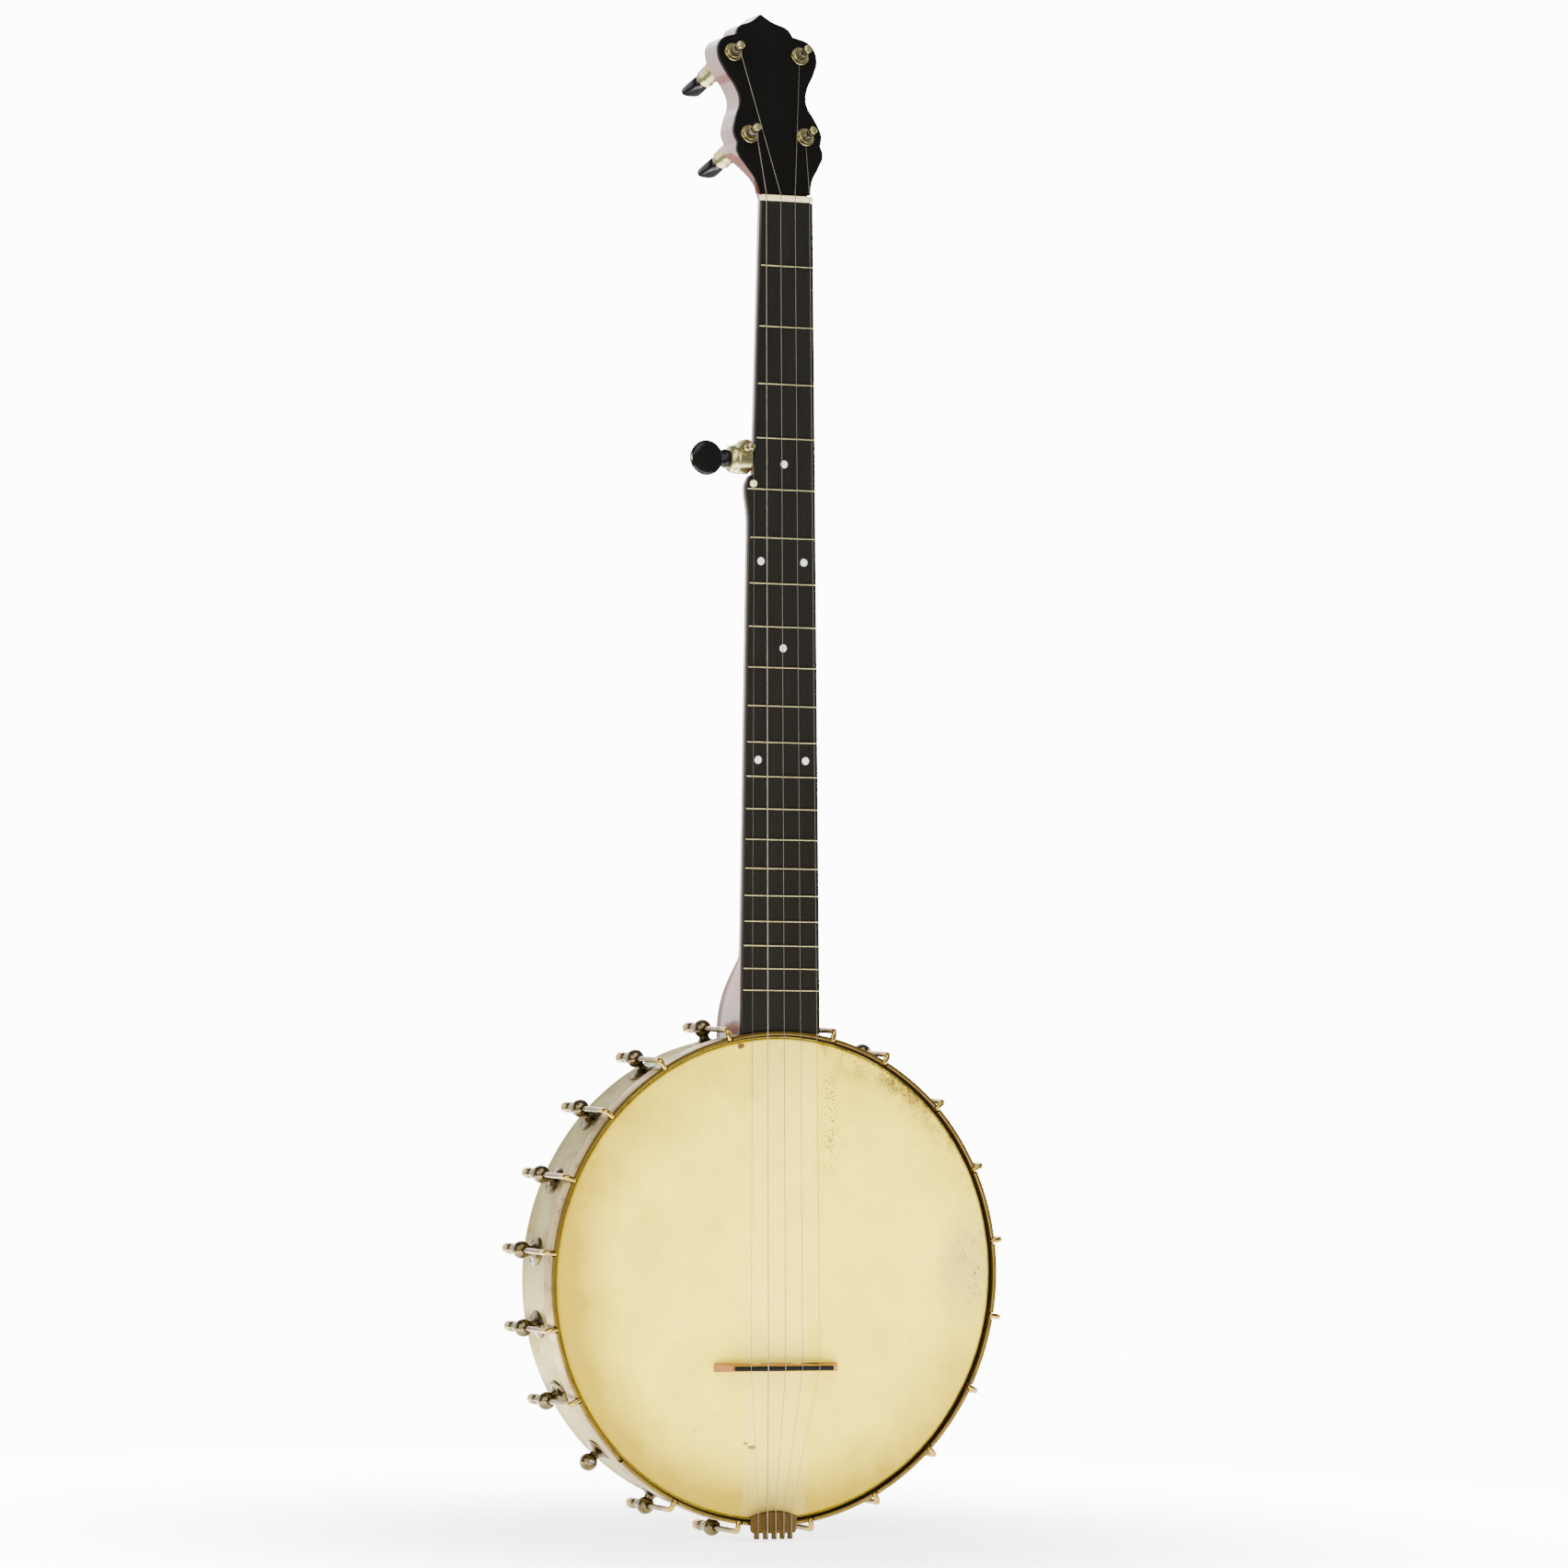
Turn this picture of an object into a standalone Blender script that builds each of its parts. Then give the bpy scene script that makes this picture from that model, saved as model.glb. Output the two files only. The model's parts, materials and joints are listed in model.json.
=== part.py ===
"""Open-back five-string banjo, upright, metres.

+Z runs up towards the peghead, the head and strings face -Y, and +X is to the
right as seen from the front. The origin lies under the middle of the pot, where
a stand's cradle carries it. The pot's axis is parallel to Y. The neck leans back
by NECK_TILT, so everything on it hangs from an empty that leans with it, and the
peghead hangs from a second empty that leans back further.
"""

import math

import bpy
import bmesh
from mathutils import Matrix, Vector

# Clearance between two pieces that touch
GAP = 0.0003

# Pot: metal shell spun over a wooden ring, skin head, flesh wire, tension hoop
RIM_R = 0.1390
RIM_DEPTH = 0.0508
SHELL_T = 0.0008
SHELL_LIP = 0.0052
SHELL_EDGE = 0.0016
RIM_WOOD_T = 0.0078
HEAD_T = 0.0005
HEAD_EDGE = 0.0014
FLESH_WIRE = 0.0022
HOOP_WALL = 0.0016
HOOP_LIP_W = 0.0024
HOOP_LIP_DEPTH = 0.0042
HOOP_DEPTH = 0.0115
HOOP_PROUD = 0.0028
HOOP_GROOVE = 0.0009
RING_STEPS = 60

# Brackets: a ball shoe on the shell, a hook through it, a nut behind it
BRACKETS = 20
NECK_BRACKET_ANGLE = 13.5
RIGHT_BRACKET_START = 28.2
RIGHT_BRACKET_STEP = 17.7
LEFT_BRACKET_START = 31.5
LEFT_BRACKET_STEP = 17.5
LOWEST_BRACKET = LEFT_BRACKET_START + LEFT_BRACKET_STEP * (BRACKETS // 2 - 2)
MISSING_HOOK = 13
HOOK_ROD_R = 0.00165
HOOK_STANDOFF = 0.0027
HOOK_BEND_R = 0.0022
HOOK_PROUD = 0.0005
BALL_R = 0.0053
FOOT_R = 0.0083
FOOT_T = 0.0012
STEM_R = 0.0027
SHOE_SETBACK = 0.0356
SHOE_STEPS = 8
NUT_LENGTH = 0.0165
NUT_R = 0.0033
NUT_WAIST_R = 0.0024

# Stance: the pot's centre stands this high over the cradle
CRADLE_CLEARANCE = 0.0004

# Neck, measured from the nut's front edge towards the pot
SCALE_LENGTH = 0.6731
BRIDGE_SETBACK = 0.0077
NECK_LENGTH = 0.4847
NECK_TILT = math.radians(2.3)
FRET_PLANE_DROP = 0.0015
BOARD_T = 0.0032
NUT_HALF_RIGHT = 0.0186
NUT_HALF_LEFT = 0.0138
FIFTH_HALF_LEFT = 0.0179
HEEL_HALF_W = 0.0255
FIFTH_FRET = 5
LOWER_HALF_LEFT = 0.0209
HORN_REACH = 0.0024
HORN_RISE = 0.0085
NECK_BACK_NUT = 0.0150
NECK_BACK_HEEL = 0.0175
HEEL_BACK = 0.0500
HEEL_CURVE = 0.0440
HEEL_TAPER = 0.09
HEEL_POWER = 2.7
NECK_POWER = 1.85
NECK_SIDE = 0.0004
FRETS = 20
FRET_R = 0.0011
FRET_INSET = 0.0004

# Nut and pip
NUT_T = 0.0040
NUT_PROUD = 0.0012
PIP_R = 0.0022
PIP_PROUD = 0.0020
PIP_DEPTH = 0.0022
PIP_BEFORE_FRET = 0.0030

# Peghead
PEG_TILT = math.radians(16.5)
PEG_OFFSET = 0.0028
PEG_DROP = 0.0035
PEG_START = 0.0045
OVERLAY_T = 0.0025
OVERLAY_START = 0.0006
PEG_WOOD_T = 0.0155
PEG_HEIGHT = 0.1150
PEG_SIDE_RAKE = math.radians(14.3)
PEG_FOOT_SHARE = 0.55
PEG_FOOT_RISE = 0.0260
PEG_LEFT_SHARE = 0.945
UPPER_TUNER = (0.0218, 0.0890)
LOWER_TUNER = (0.0182, 0.0372)

# Planetary tuners
BUSH_R = 0.0042
BARREL_R = 0.0060
BARREL_LENGTH = 0.0202
TUNER_NUT_R = 0.0056
TUNER_NUT_T = 0.0026
POST_R = 0.0024
POST_TIP_R = 0.0020
POST_LENGTH = 0.0125
BUTTON_LENGTH = 0.0221
BUTTON_HALF_W = 0.0075
BUTTON_HALF_T = 0.0036
BUTTON_STEM_R = 0.0024

# Geared fifth peg in the neck's left side
FIFTH_PEG_S = 0.1510
FIFTH_PEG_Y = 0.0095
FIFTH_BODY_R = 0.0088
FIFTH_BODY_L = 0.0130
FIFTH_SHANK_R = 0.0040
FIFTH_SHANK_L = 0.0090
FIFTH_POST_RISE = 0.0062
FIFTH_BOSS_R = 0.0048
FIFTH_POST_PROUD = 0.0075
FIFTH_BUTTON_R = 0.0103
FIFTH_BUTTON_T = 0.0060
FIFTH_NECK_L = 0.0042

# Strings, first to fifth, from the right
STRING_R = (0.00015, 0.00017, 0.00021, 0.00030, 0.00015)
NUT_PITCH = 0.0094
NUT_STRINGS_X = 0.0026
BRIDGE_PITCH = 0.0111
TAIL_PITCH = 0.0054
ACTION_NUT = 0.0010
ACTION_TWELFTH = 0.0030
PIP_STRING_X = -0.0190

# Bridge
BRIDGE_X = 0.0010
BRIDGE_HALF_L = 0.0395
BRIDGE_TOP_HALF_L = 0.0316
BRIDGE_FOOT_T = 0.0050
BRIDGE_TOP_T = 0.0028
BRIDGE_CAP_H = 0.0024
BRIDGE_ARCH_X = 0.0131
BRIDGE_ARCH_HALF_W = 0.0036
BRIDGE_ARCH_H = 0.0062

# Tailpiece
TAIL_HALF_W = 0.0150
TAIL_INSIDE = 0.0097
TAIL_OVERHANG = 0.0036
TAIL_PLATE_T = 0.0011
TAIL_DOME = 0.0022
TAIL_FINGER_R = 0.0016
TAIL_FINGER_L = 0.0036
TAIL_STRAP_W = 0.0110
TAIL_STRAP_T = 0.0014
END_BOLT_Y = 0.0030
END_BOLT_R = 0.0024
END_NUT_R = 0.0046
END_NUT_H = 0.0042

# Dowel stick and the brace that holds it to the rim
DOWEL_W = 0.0240
DOWEL_D = 0.0180
DOWEL_Y = 0.0030
DOWEL_TENON = 0.0180
BRACE_W = 0.0440
BRACE_D = 0.0300
BRACE_T = 0.0024

# Sizes that follow
RIM_FRONT = -RIM_DEPTH / 2
RIM_BACK = RIM_DEPTH / 2
HEAD_BACK = RIM_FRONT - GAP
HEAD_FRONT = HEAD_BACK - HEAD_T
HOOP_FRONT = HEAD_FRONT - HOOP_PROUD
SKIRT_R = RIM_R + GAP
FLESH_R = SKIRT_R + HEAD_T + GAP
HOOP_IN_R = FLESH_R + FLESH_WIRE + GAP
HOOP_OUT_R = HOOP_IN_R + HOOP_WALL
HOOP_LIP_R = HOOP_OUT_R - HOOP_LIP_W
HOOP_BACK = HOOP_FRONT + HOOP_DEPTH
FLESH_FRONT = HOOP_FRONT + HOOP_LIP_DEPTH + GAP
WOOD_OUT_R = RIM_R - SHELL_T - GAP
WOOD_IN_R = WOOD_OUT_R - RIM_WOOD_T
HOOK_PITCH_R = HOOP_OUT_R + HOOK_STANDOFF + HOOK_ROD_R
TAIL_TOP = HOOP_OUT_R - TAIL_INSIDE
TAIL_FOOT = HOOP_OUT_R + TAIL_OVERHANG
SHOE_Y = HOOP_FRONT + SHOE_SETBACK
LEG_Y = HOOP_FRONT + HOOK_ROD_R - HOOK_PROUD
HOLE_R = HOOK_ROD_R + GAP
POT_Z = HOOK_PITCH_R * math.cos(math.radians(180.0 - LOWEST_BRACKET)) + BALL_R + CRADLE_CLEARANCE
NECK_FOOT = Vector((0.0, HOOP_FRONT + FRET_PLANE_DROP, POT_Z + HOOP_OUT_R))
GLUE_Y = BOARD_T + GAP
WOOD_Y = OVERLAY_T + GAP
STRING_AT_BRIDGE = 2 * ACTION_TWELFTH - ACTION_NUT

PARTS = "open_back_banjo"
CUTTERS = "open_back_banjo_cutters"


def clear_scene():
    for obj in list(bpy.data.objects):
        bpy.data.objects.remove(obj, do_unlink=True)
    for name in (PARTS, CUTTERS):
        bpy.context.scene.collection.children.link(bpy.data.collections.new(name))


# Materials


def material(name, colour, roughness, metallic=0.0):
    found = bpy.data.materials.get(name)
    if found:
        return found
    made = bpy.data.materials.new(name)
    made.use_nodes = True
    shader = made.node_tree.nodes["Principled BSDF"]
    shader.inputs["Base Color"].default_value = (*colour, 1.0)
    shader.inputs["Roughness"].default_value = roughness
    shader.inputs["Metallic"].default_value = metallic
    return made


LOOKS = {
    "nickel": ((0.62, 0.59, 0.50), 0.32, 1.0),
    "brass": ((0.68, 0.50, 0.22), 0.34, 1.0),
    "bronze": ((0.35, 0.23, 0.12), 0.40, 1.0),
    "steel": ((0.56, 0.56, 0.55), 0.28, 1.0),
    "mahogany": ((0.34, 0.15, 0.10), 0.30, 0.0),
    "maple": ((0.66, 0.42, 0.26), 0.42, 0.0),
    "ebony": ((0.018, 0.016, 0.015), 0.34, 0.0),
    "button": ((0.012, 0.012, 0.012), 0.22, 0.0),
    "bone": ((0.83, 0.74, 0.50), 0.36, 0.0),
    "skin": ((0.80, 0.70, 0.42), 0.55, 0.0),
}


def add(name, mesh, look, parent=None, matrix=None):
    """A named part: its mesh, a material of its own and its place."""
    obj = bpy.data.objects.new(name, mesh)
    bpy.data.collections[PARTS].objects.link(obj)
    obj.parent = parent
    if matrix is not None:
        obj.matrix_basis = matrix
    colour, roughness, metallic = LOOKS[look]
    mesh.materials.clear()
    mesh.materials.append(material(f"{name}_{look}", colour, roughness, metallic))
    return obj


def guide(name, mesh, parent=None, matrix=None):
    """A cutter or a piece to be joined to another: never a part by itself."""
    obj = bpy.data.objects.new(name, mesh)
    bpy.data.collections[CUTTERS].objects.link(obj)
    obj.parent = parent
    if matrix is not None:
        obj.matrix_basis = matrix
    obj.hide_render = True
    obj.display_type = "WIRE"
    return obj


def boolean(obj, other, operation):
    step = obj.modifiers.new(f"{operation.lower()}_{other.name}", "BOOLEAN")
    step.operation = operation
    step.solver = "EXACT"
    step.object = other


def evaluated_mesh(obj, name, weld=1e-6):
    """The evaluated object as a plain mesh, with loose caps welded to their sides."""
    bpy.context.view_layer.update()
    graph = bpy.context.evaluated_depsgraph_get()
    mesh = bpy.data.meshes.new_from_object(obj.evaluated_get(graph))
    mesh.name = name
    bm = bmesh.new()
    bm.from_mesh(mesh)
    bmesh.ops.remove_doubles(bm, verts=bm.verts, dist=weld)
    bm.to_mesh(mesh)
    bm.free()
    return mesh


def face_out(mesh):
    bm = bmesh.new()
    bm.from_mesh(mesh)
    bmesh.ops.recalc_face_normals(bm, faces=bm.faces)
    bm.to_mesh(mesh)
    bm.free()


def baked(obj, name, weld=1e-6):
    """The evaluated mesh of a temporary object, which is then removed."""
    mesh = evaluated_mesh(obj, name, weld)
    bpy.data.objects.remove(obj, do_unlink=True)
    return mesh


# Shapes

Y_FORWARD = Matrix.Rotation(math.radians(90), 4, "X")


def turned_mesh(name, profile, steps, closed=False):
    """A profile of (radius, height) turned about Z. Its outer side runs down."""
    points = list(profile)
    area = sum(
        a[0] * b[1] - b[0] * a[1] for a, b in zip(points, points[1:] + points[:1])
    )
    if area > 0:
        points.reverse()
    mesh = bpy.data.meshes.new(name)
    edges = [(i, i + 1) for i in range(len(points) - 1)]
    if closed:
        edges.append((len(points) - 1, 0))
    mesh.from_pydata([(r, 0.0, z) for r, z in points], edges, [])
    obj = bpy.data.objects.new(name, mesh)
    bpy.context.scene.collection.objects.link(obj)
    screw = obj.modifiers.new("turn", "SCREW")
    screw.angle = math.radians(360)
    screw.steps = steps
    screw.render_steps = steps
    screw.use_merge_vertices = True
    screw.merge_threshold = 0.00001
    return baked(obj, name)


def ring_mesh(name, section):
    """A ring round the pot's axis from a closed section of (radius, depth)."""
    return turned_mesh(name, [(r, -y) for r, y in section], RING_STEPS, closed=True)


def box_mesh(name, size, centre=(0.0, 0.0, 0.0), bevel=0.0):
    mesh = bpy.data.meshes.new(name)
    bm = bmesh.new()
    bmesh.ops.create_cube(bm, size=1.0)
    bmesh.ops.scale(bm, vec=size, verts=bm.verts)
    if bevel:
        bmesh.ops.bevel(
            bm, geom=bm.edges[:], offset=bevel, segments=1, affect="EDGES", profile=0.5
        )
    bmesh.ops.translate(bm, vec=centre, verts=bm.verts)
    bm.to_mesh(mesh)
    bm.free()
    return mesh


def rod_mesh(name, radius, start, end, sides=12):
    """A cylinder from one point to another."""
    start, end = Vector(start), Vector(end)
    axis = end - start
    mesh = bpy.data.meshes.new(name)
    bm = bmesh.new()
    bmesh.ops.create_cone(
        bm, cap_ends=True, segments=sides, radius1=radius, radius2=radius, depth=axis.length
    )
    turn = axis.to_track_quat("Z", "Y").to_matrix().to_4x4()
    place = Matrix.Translation((start + end) / 2) @ turn
    bmesh.ops.transform(bm, matrix=place, verts=bm.verts)
    bm.to_mesh(mesh)
    bm.free()
    return mesh


def joined_mesh(name, pieces):
    """Several meshes, each with its own matrix, in one mesh."""
    mesh = bpy.data.meshes.new(name)
    bm = bmesh.new()
    for piece, matrix in pieces:
        copy = piece.copy()
        copy.transform(matrix)
        bm.from_mesh(copy)
        bpy.data.meshes.remove(copy)
    bm.to_mesh(mesh)
    bm.free()
    return mesh


def tube_mesh(name, points, radius, sides_level=1, widths=None):
    """A round tube along a poly line; widths scales it at each point."""
    curve = bpy.data.curves.new(name, "CURVE")
    curve.dimensions = "3D"
    curve.bevel_depth = radius
    curve.bevel_resolution = sides_level
    curve.resolution_u = 1
    curve.render_resolution_u = 0
    curve.use_fill_caps = True
    line = curve.splines.new("POLY")
    line.points.add(len(points) - 1)
    for i, place in enumerate(points):
        line.points[i].co = (*place, 1.0)
        line.points[i].radius = widths[i] if widths else 1.0
    obj = bpy.data.objects.new(name, curve)
    bpy.context.scene.collection.objects.link(obj)
    return baked(obj, name)


def plate_mesh(name, knots, thickness, resolution=4, bevel=0.0):
    """A flat outline in XY, filled and given a thickness about Z.

    A knot is (x, y, corner): a corner stays sharp and the others run smooth.
    """
    curve = bpy.data.curves.new(name, "CURVE")
    curve.dimensions = "2D"
    curve.fill_mode = "BOTH"
    curve.extrude = thickness / 2
    curve.resolution_u = resolution
    curve.render_resolution_u = 0
    line = curve.splines.new("BEZIER")
    line.use_cyclic_u = True
    line.bezier_points.add(len(knots) - 1)
    for point, (x, y, corner) in zip(line.bezier_points, knots):
        point.co = (x, y, 0.0)
        kind = "VECTOR" if corner else "AUTO"
        point.handle_left_type = kind
        point.handle_right_type = kind
    obj = bpy.data.objects.new(name, curve)
    bpy.context.scene.collection.objects.link(obj)
    mesh = baked(obj, name, weld=1e-5)
    face_out(mesh)
    return mesh


def loft_mesh(name, sections):
    """Skin over a row of sections with equal counts of points, capped at both ends."""
    mesh = bpy.data.meshes.new(name)
    bm = bmesh.new()
    rings = [[bm.verts.new(point) for point in section] for section in sections]
    count = len(rings[0])
    for low, high in zip(rings, rings[1:]):
        for i in range(count):
            j = (i + 1) % count
            bm.faces.new((low[i], low[j], high[j], high[i]))
    bm.faces.new(list(reversed(rings[0])))
    bm.faces.new(rings[-1])
    bmesh.ops.recalc_face_normals(bm, faces=bm.faces)
    bm.to_mesh(mesh)
    bm.free()
    return mesh


def arc(centre, radius, start, end, count):
    """Points on an arc, angles in degrees, both ends included."""
    step = (end - start) / (count - 1)
    angles = [math.radians(start + step * i) for i in range(count)]
    return [
        (centre[0] + radius * math.cos(a), centre[1] + radius * math.sin(a))
        for a in angles
    ]


# Places


def bracket_angles():
    """Clockwise from the neck as seen from the front, in degrees."""
    count = BRACKETS // 2 - 1
    right = [RIGHT_BRACKET_START + RIGHT_BRACKET_STEP * i for i in range(count)]
    left = [LEFT_BRACKET_START + LEFT_BRACKET_STEP * i for i in range(count)]
    left.reverse()
    return [NECK_BRACKET_ANGLE] + right + [-angle for angle in left] + [-NECK_BRACKET_ANGLE]


def bracket_matrix(angle):
    """Local X runs out from the pot's axis, Y to the back, the origin at the axis."""
    a = math.radians(angle)
    turn = Matrix(
        (
            (math.sin(a), 0.0, -math.cos(a), 0.0),
            (0.0, 1.0, 0.0, 0.0),
            (math.cos(a), 0.0, math.sin(a), POT_Z),
            (0.0, 0.0, 0.0, 1.0),
        )
    )
    return turn


def pot_matrix():
    return Matrix.Translation((0.0, 0.0, POT_Z)) @ Y_FORWARD


def fret_distance(number):
    """From the nut to a fret of the equal-tempered scale."""
    return SCALE_LENGTH * (1.0 - 2.0 ** (-number / 12.0))


def along_neck(s):
    """Height in the neck's frame of a point at a distance s from the nut."""
    return NECK_LENGTH - s


def right_edge(s):
    return NUT_HALF_RIGHT + (HEEL_HALF_W - NUT_HALF_RIGHT) * s / NECK_LENGTH


def upper_left_edge(s):
    return NUT_HALF_LEFT + (FIFTH_HALF_LEFT - NUT_HALF_LEFT) * s / FIFTH_PEG_S


def lower_left_edge(s):
    start = fret_distance(FIFTH_FRET)
    share = (s - start) / (NECK_LENGTH - start)
    return LOWER_HALF_LEFT + (HEEL_HALF_W - LOWER_HALF_LEFT) * share


def left_edge(s):
    """The left half width, with the horn where the fifth string begins."""
    fret = fret_distance(FIFTH_FRET)
    horn_top = fret - HORN_RISE
    if s <= horn_top:
        return upper_left_edge(s)
    if s <= fret:
        share = (s - horn_top) / HORN_RISE
        low = upper_left_edge(horn_top)
        high = lower_left_edge(fret) + HORN_REACH
        return low + (high - low) * math.sqrt(1.0 - (1.0 - share) ** 2)
    ease = math.exp(-(((s - fret) / 0.011) ** 2))
    return lower_left_edge(s) + HORN_REACH * ease


def horn_stations():
    fret = fret_distance(FIFTH_FRET)
    shares = (0.0, 0.08, 0.3, 0.6, 1.0)
    rise = [fret - HORN_RISE * (1.0 - share) for share in shares]
    return rise + [fret + step for step in (0.006, 0.012, 0.018, 0.028)]


# Pot


def make_shell():
    front, back = RIM_FRONT, RIM_BACK
    edge, lip, wall = SHELL_EDGE, SHELL_LIP, SHELL_T
    section = [
        (RIM_R - lip, front),
        (RIM_R - edge, front),
        (RIM_R, front + edge),
        (RIM_R, back - edge),
        (RIM_R - edge, back),
        (RIM_R - lip, back),
        (RIM_R - lip, back - wall),
        (RIM_R - edge, back - wall),
        (RIM_R - wall, back - edge),
        (RIM_R - wall, front + edge),
        (RIM_R - edge, front + wall),
        (RIM_R - lip, front + wall),
    ]
    shell = add("rim_shell", ring_mesh("rim_shell", section), "nickel", None, pot_matrix())
    boolean(shell, guide("shoes", shoes_mesh()), "UNION")
    boolean(shell, guide("shoe_holes", shoe_holes_mesh()), "DIFFERENCE")
    return shell


def shoes_mesh():
    """The twenty ball shoes: a domed foot, a short stem and a drilled ball."""
    foot = RIM_R * math.cos(math.radians(180.0 / RING_STEPS)) - 0.6 * SHELL_T
    top = RIM_R + FOOT_T
    ball = HOOK_PITCH_R
    stem_rise = math.sqrt(BALL_R**2 - STEM_R**2)
    profile = [
        (0.0, foot),
        (FOOT_R, foot),
        (FOOT_R, top),
        (STEM_R + 0.0006, top + 0.0022),
        (STEM_R, ball - stem_rise),
        (BALL_R * 0.93, ball - BALL_R * 0.36),
        (BALL_R * 0.93, ball + BALL_R * 0.36),
        (STEM_R, ball + stem_rise),
        (0.0, ball + BALL_R),
    ]
    shoe = turned_mesh("shoe", profile, SHOE_STEPS)
    place = Matrix.Translation((0.0, SHOE_Y, 0.0))
    upright = Matrix(((0, 0, 1, 0), (1, 0, 0, 0), (0, 1, 0, 0), (0, 0, 0, 1)))
    pieces = [(shoe, bracket_matrix(a) @ place @ upright) for a in bracket_angles()]
    return joined_mesh("shoes", pieces)


def shoe_holes_mesh():
    reach = BALL_R + 0.001
    hole = rod_mesh(
        "hole",
        HOLE_R,
        (HOOK_PITCH_R, SHOE_Y - reach, 0.0),
        (HOOK_PITCH_R, SHOE_Y + reach, 0.0),
        8,
    )
    return joined_mesh("shoe_holes", [(hole, bracket_matrix(a)) for a in bracket_angles()])


def make_rim_wood():
    front = RIM_FRONT + SHELL_T + GAP
    back = RIM_BACK - SHELL_T - GAP
    soft = 0.0012
    section = [
        (WOOD_IN_R, front),
        (WOOD_OUT_R - soft, front),
        (WOOD_OUT_R, front + soft),
        (WOOD_OUT_R, back - soft),
        (WOOD_OUT_R - soft, back),
        (WOOD_IN_R, back),
    ]
    return add("rim_wood", ring_mesh("rim_wood", section), "maple", None, pot_matrix())


def make_head():
    """The skin's flat disc, out to the rim's edge."""
    out = SKIRT_R + HEAD_T
    half = [
        (0.0, HEAD_FRONT),
        (out - HEAD_EDGE, HEAD_FRONT),
        (out, HEAD_BACK - 0.0002),
        (out, HEAD_BACK),
        (0.0, HEAD_BACK),
    ]
    profile = [(r, -y) for r, y in half]
    mesh = turned_mesh("head", profile, RING_STEPS)
    return add("head", mesh, "skin", None, pot_matrix())


def make_flesh_hoop():
    """The wire that the skin's edge is rolled round, with the skin's skirt on the rim."""
    back = FLESH_FRONT + FLESH_WIRE
    out = FLESH_R + FLESH_WIRE
    section = [
        (SKIRT_R, HEAD_BACK + GAP),
        (SKIRT_R + HEAD_T, HEAD_BACK + GAP),
        (SKIRT_R + HEAD_T, FLESH_FRONT),
        (out, FLESH_FRONT),
        (out, back),
        (SKIRT_R, back),
    ]
    return add("flesh_hoop", ring_mesh("flesh_hoop", section), "brass", None, pot_matrix())


def make_tension_hoop():
    groove_r = HOOP_OUT_R - 0.55 * HOOP_LIP_W
    section = [
        (HOOP_OUT_R, HOOP_BACK),
        (HOOP_OUT_R, HOOP_FRONT + 0.0003),
        (HOOP_OUT_R - 0.0005, HOOP_FRONT),
        (groove_r, HOOP_FRONT + HOOP_GROOVE),
        (HOOP_LIP_R, HOOP_FRONT + 0.0004),
        (HOOP_LIP_R, HOOP_FRONT + HOOP_LIP_DEPTH),
        (HOOP_IN_R, HOOP_FRONT + HOOP_LIP_DEPTH),
        (HOOP_IN_R, HOOP_BACK),
    ]
    mesh = ring_mesh("tension_hoop", section)
    hoop = add("tension_hoop", mesh, "brass", None, pot_matrix())
    boolean(hoop, guide("notches", notches_mesh()), "DIFFERENCE")
    return hoop


def notches_mesh():
    floor = LEG_Y + HOOK_ROD_R + GAP
    depth = floor - HOOP_FRONT + 0.001
    reach = HOOP_LIP_W + 0.002
    centre = (HOOP_OUT_R - HOOP_LIP_W / 2, floor - depth / 2, 0.0)
    notch = box_mesh("notch", (reach, depth, 2 * HOLE_R), centre)
    return joined_mesh("notches", [(notch, bracket_matrix(a)) for a in bracket_angles()])


def hook_mesh():
    """A bent hook with its nut, in a bracket's frame: one tube of changing width."""
    seat = SHOE_Y + math.sqrt(BALL_R**2 - HOLE_R**2) + GAP
    nut = [
        (NUT_LENGTH, 0.60),
        (NUT_LENGTH - 0.0020, 0.97),
        (NUT_LENGTH * 0.50, 0.97),
        (NUT_LENGTH * 0.36, NUT_WAIST_R / NUT_R),
        (NUT_LENGTH * 0.22, NUT_WAIST_R / NUT_R),
        (NUT_LENGTH * 0.10, 1.0),
        (0.0, 1.0),
    ]
    points = [(HOOK_PITCH_R, seat + rise, 0.0) for rise, _ in nut]
    widths = [share * NUT_R / HOOK_ROD_R for _, share in nut]
    points.append((HOOK_PITCH_R, seat - 0.00002, 0.0))
    bend_centre = (HOOK_PITCH_R - HOOK_BEND_R, LEG_Y + HOOK_BEND_R)
    for r, y in arc(bend_centre, HOOK_BEND_R, 0.0, -90.0, 4):
        points.append((r, y, 0.0))
    points.append((HOOP_LIP_R + GAP, LEG_Y, 0.0))
    widths += [1.0] * (len(points) - len(widths))
    return tube_mesh("hook", points, HOOK_ROD_R, 1, widths)


def make_hooks():
    source = hook_mesh()
    for number, angle in enumerate(bracket_angles(), start=1):
        if number != MISSING_HOOK:
            add(f"hook_{number:02d}", source.copy(), "brass", None, bracket_matrix(angle))
    bpy.data.meshes.remove(source)


# Neck


def neck_section(s, front, back, power, taper=0.0):
    """One section across the neck: flat in front, round behind, narrower there by taper."""
    left, right = left_edge(max(s, 0.0)), right_edge(max(s, 0.0))
    centre, half = (right - left) / 2, (right + left) / 2
    points = [(centre - half, front), (centre + half, front)]
    count = 10
    for i in range(count + 1):
        a = math.pi * i / count
        x = math.copysign(abs(math.cos(a)) ** (2 / power), math.cos(a))
        y = math.sin(a) ** (2 / power)
        depth = front + NECK_SIDE + (back - NECK_SIDE) * y
        points.append((centre + half * x * (1.0 - taper * y), depth))
    return [(x, y, along_neck(s)) for x, y in points]


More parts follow.
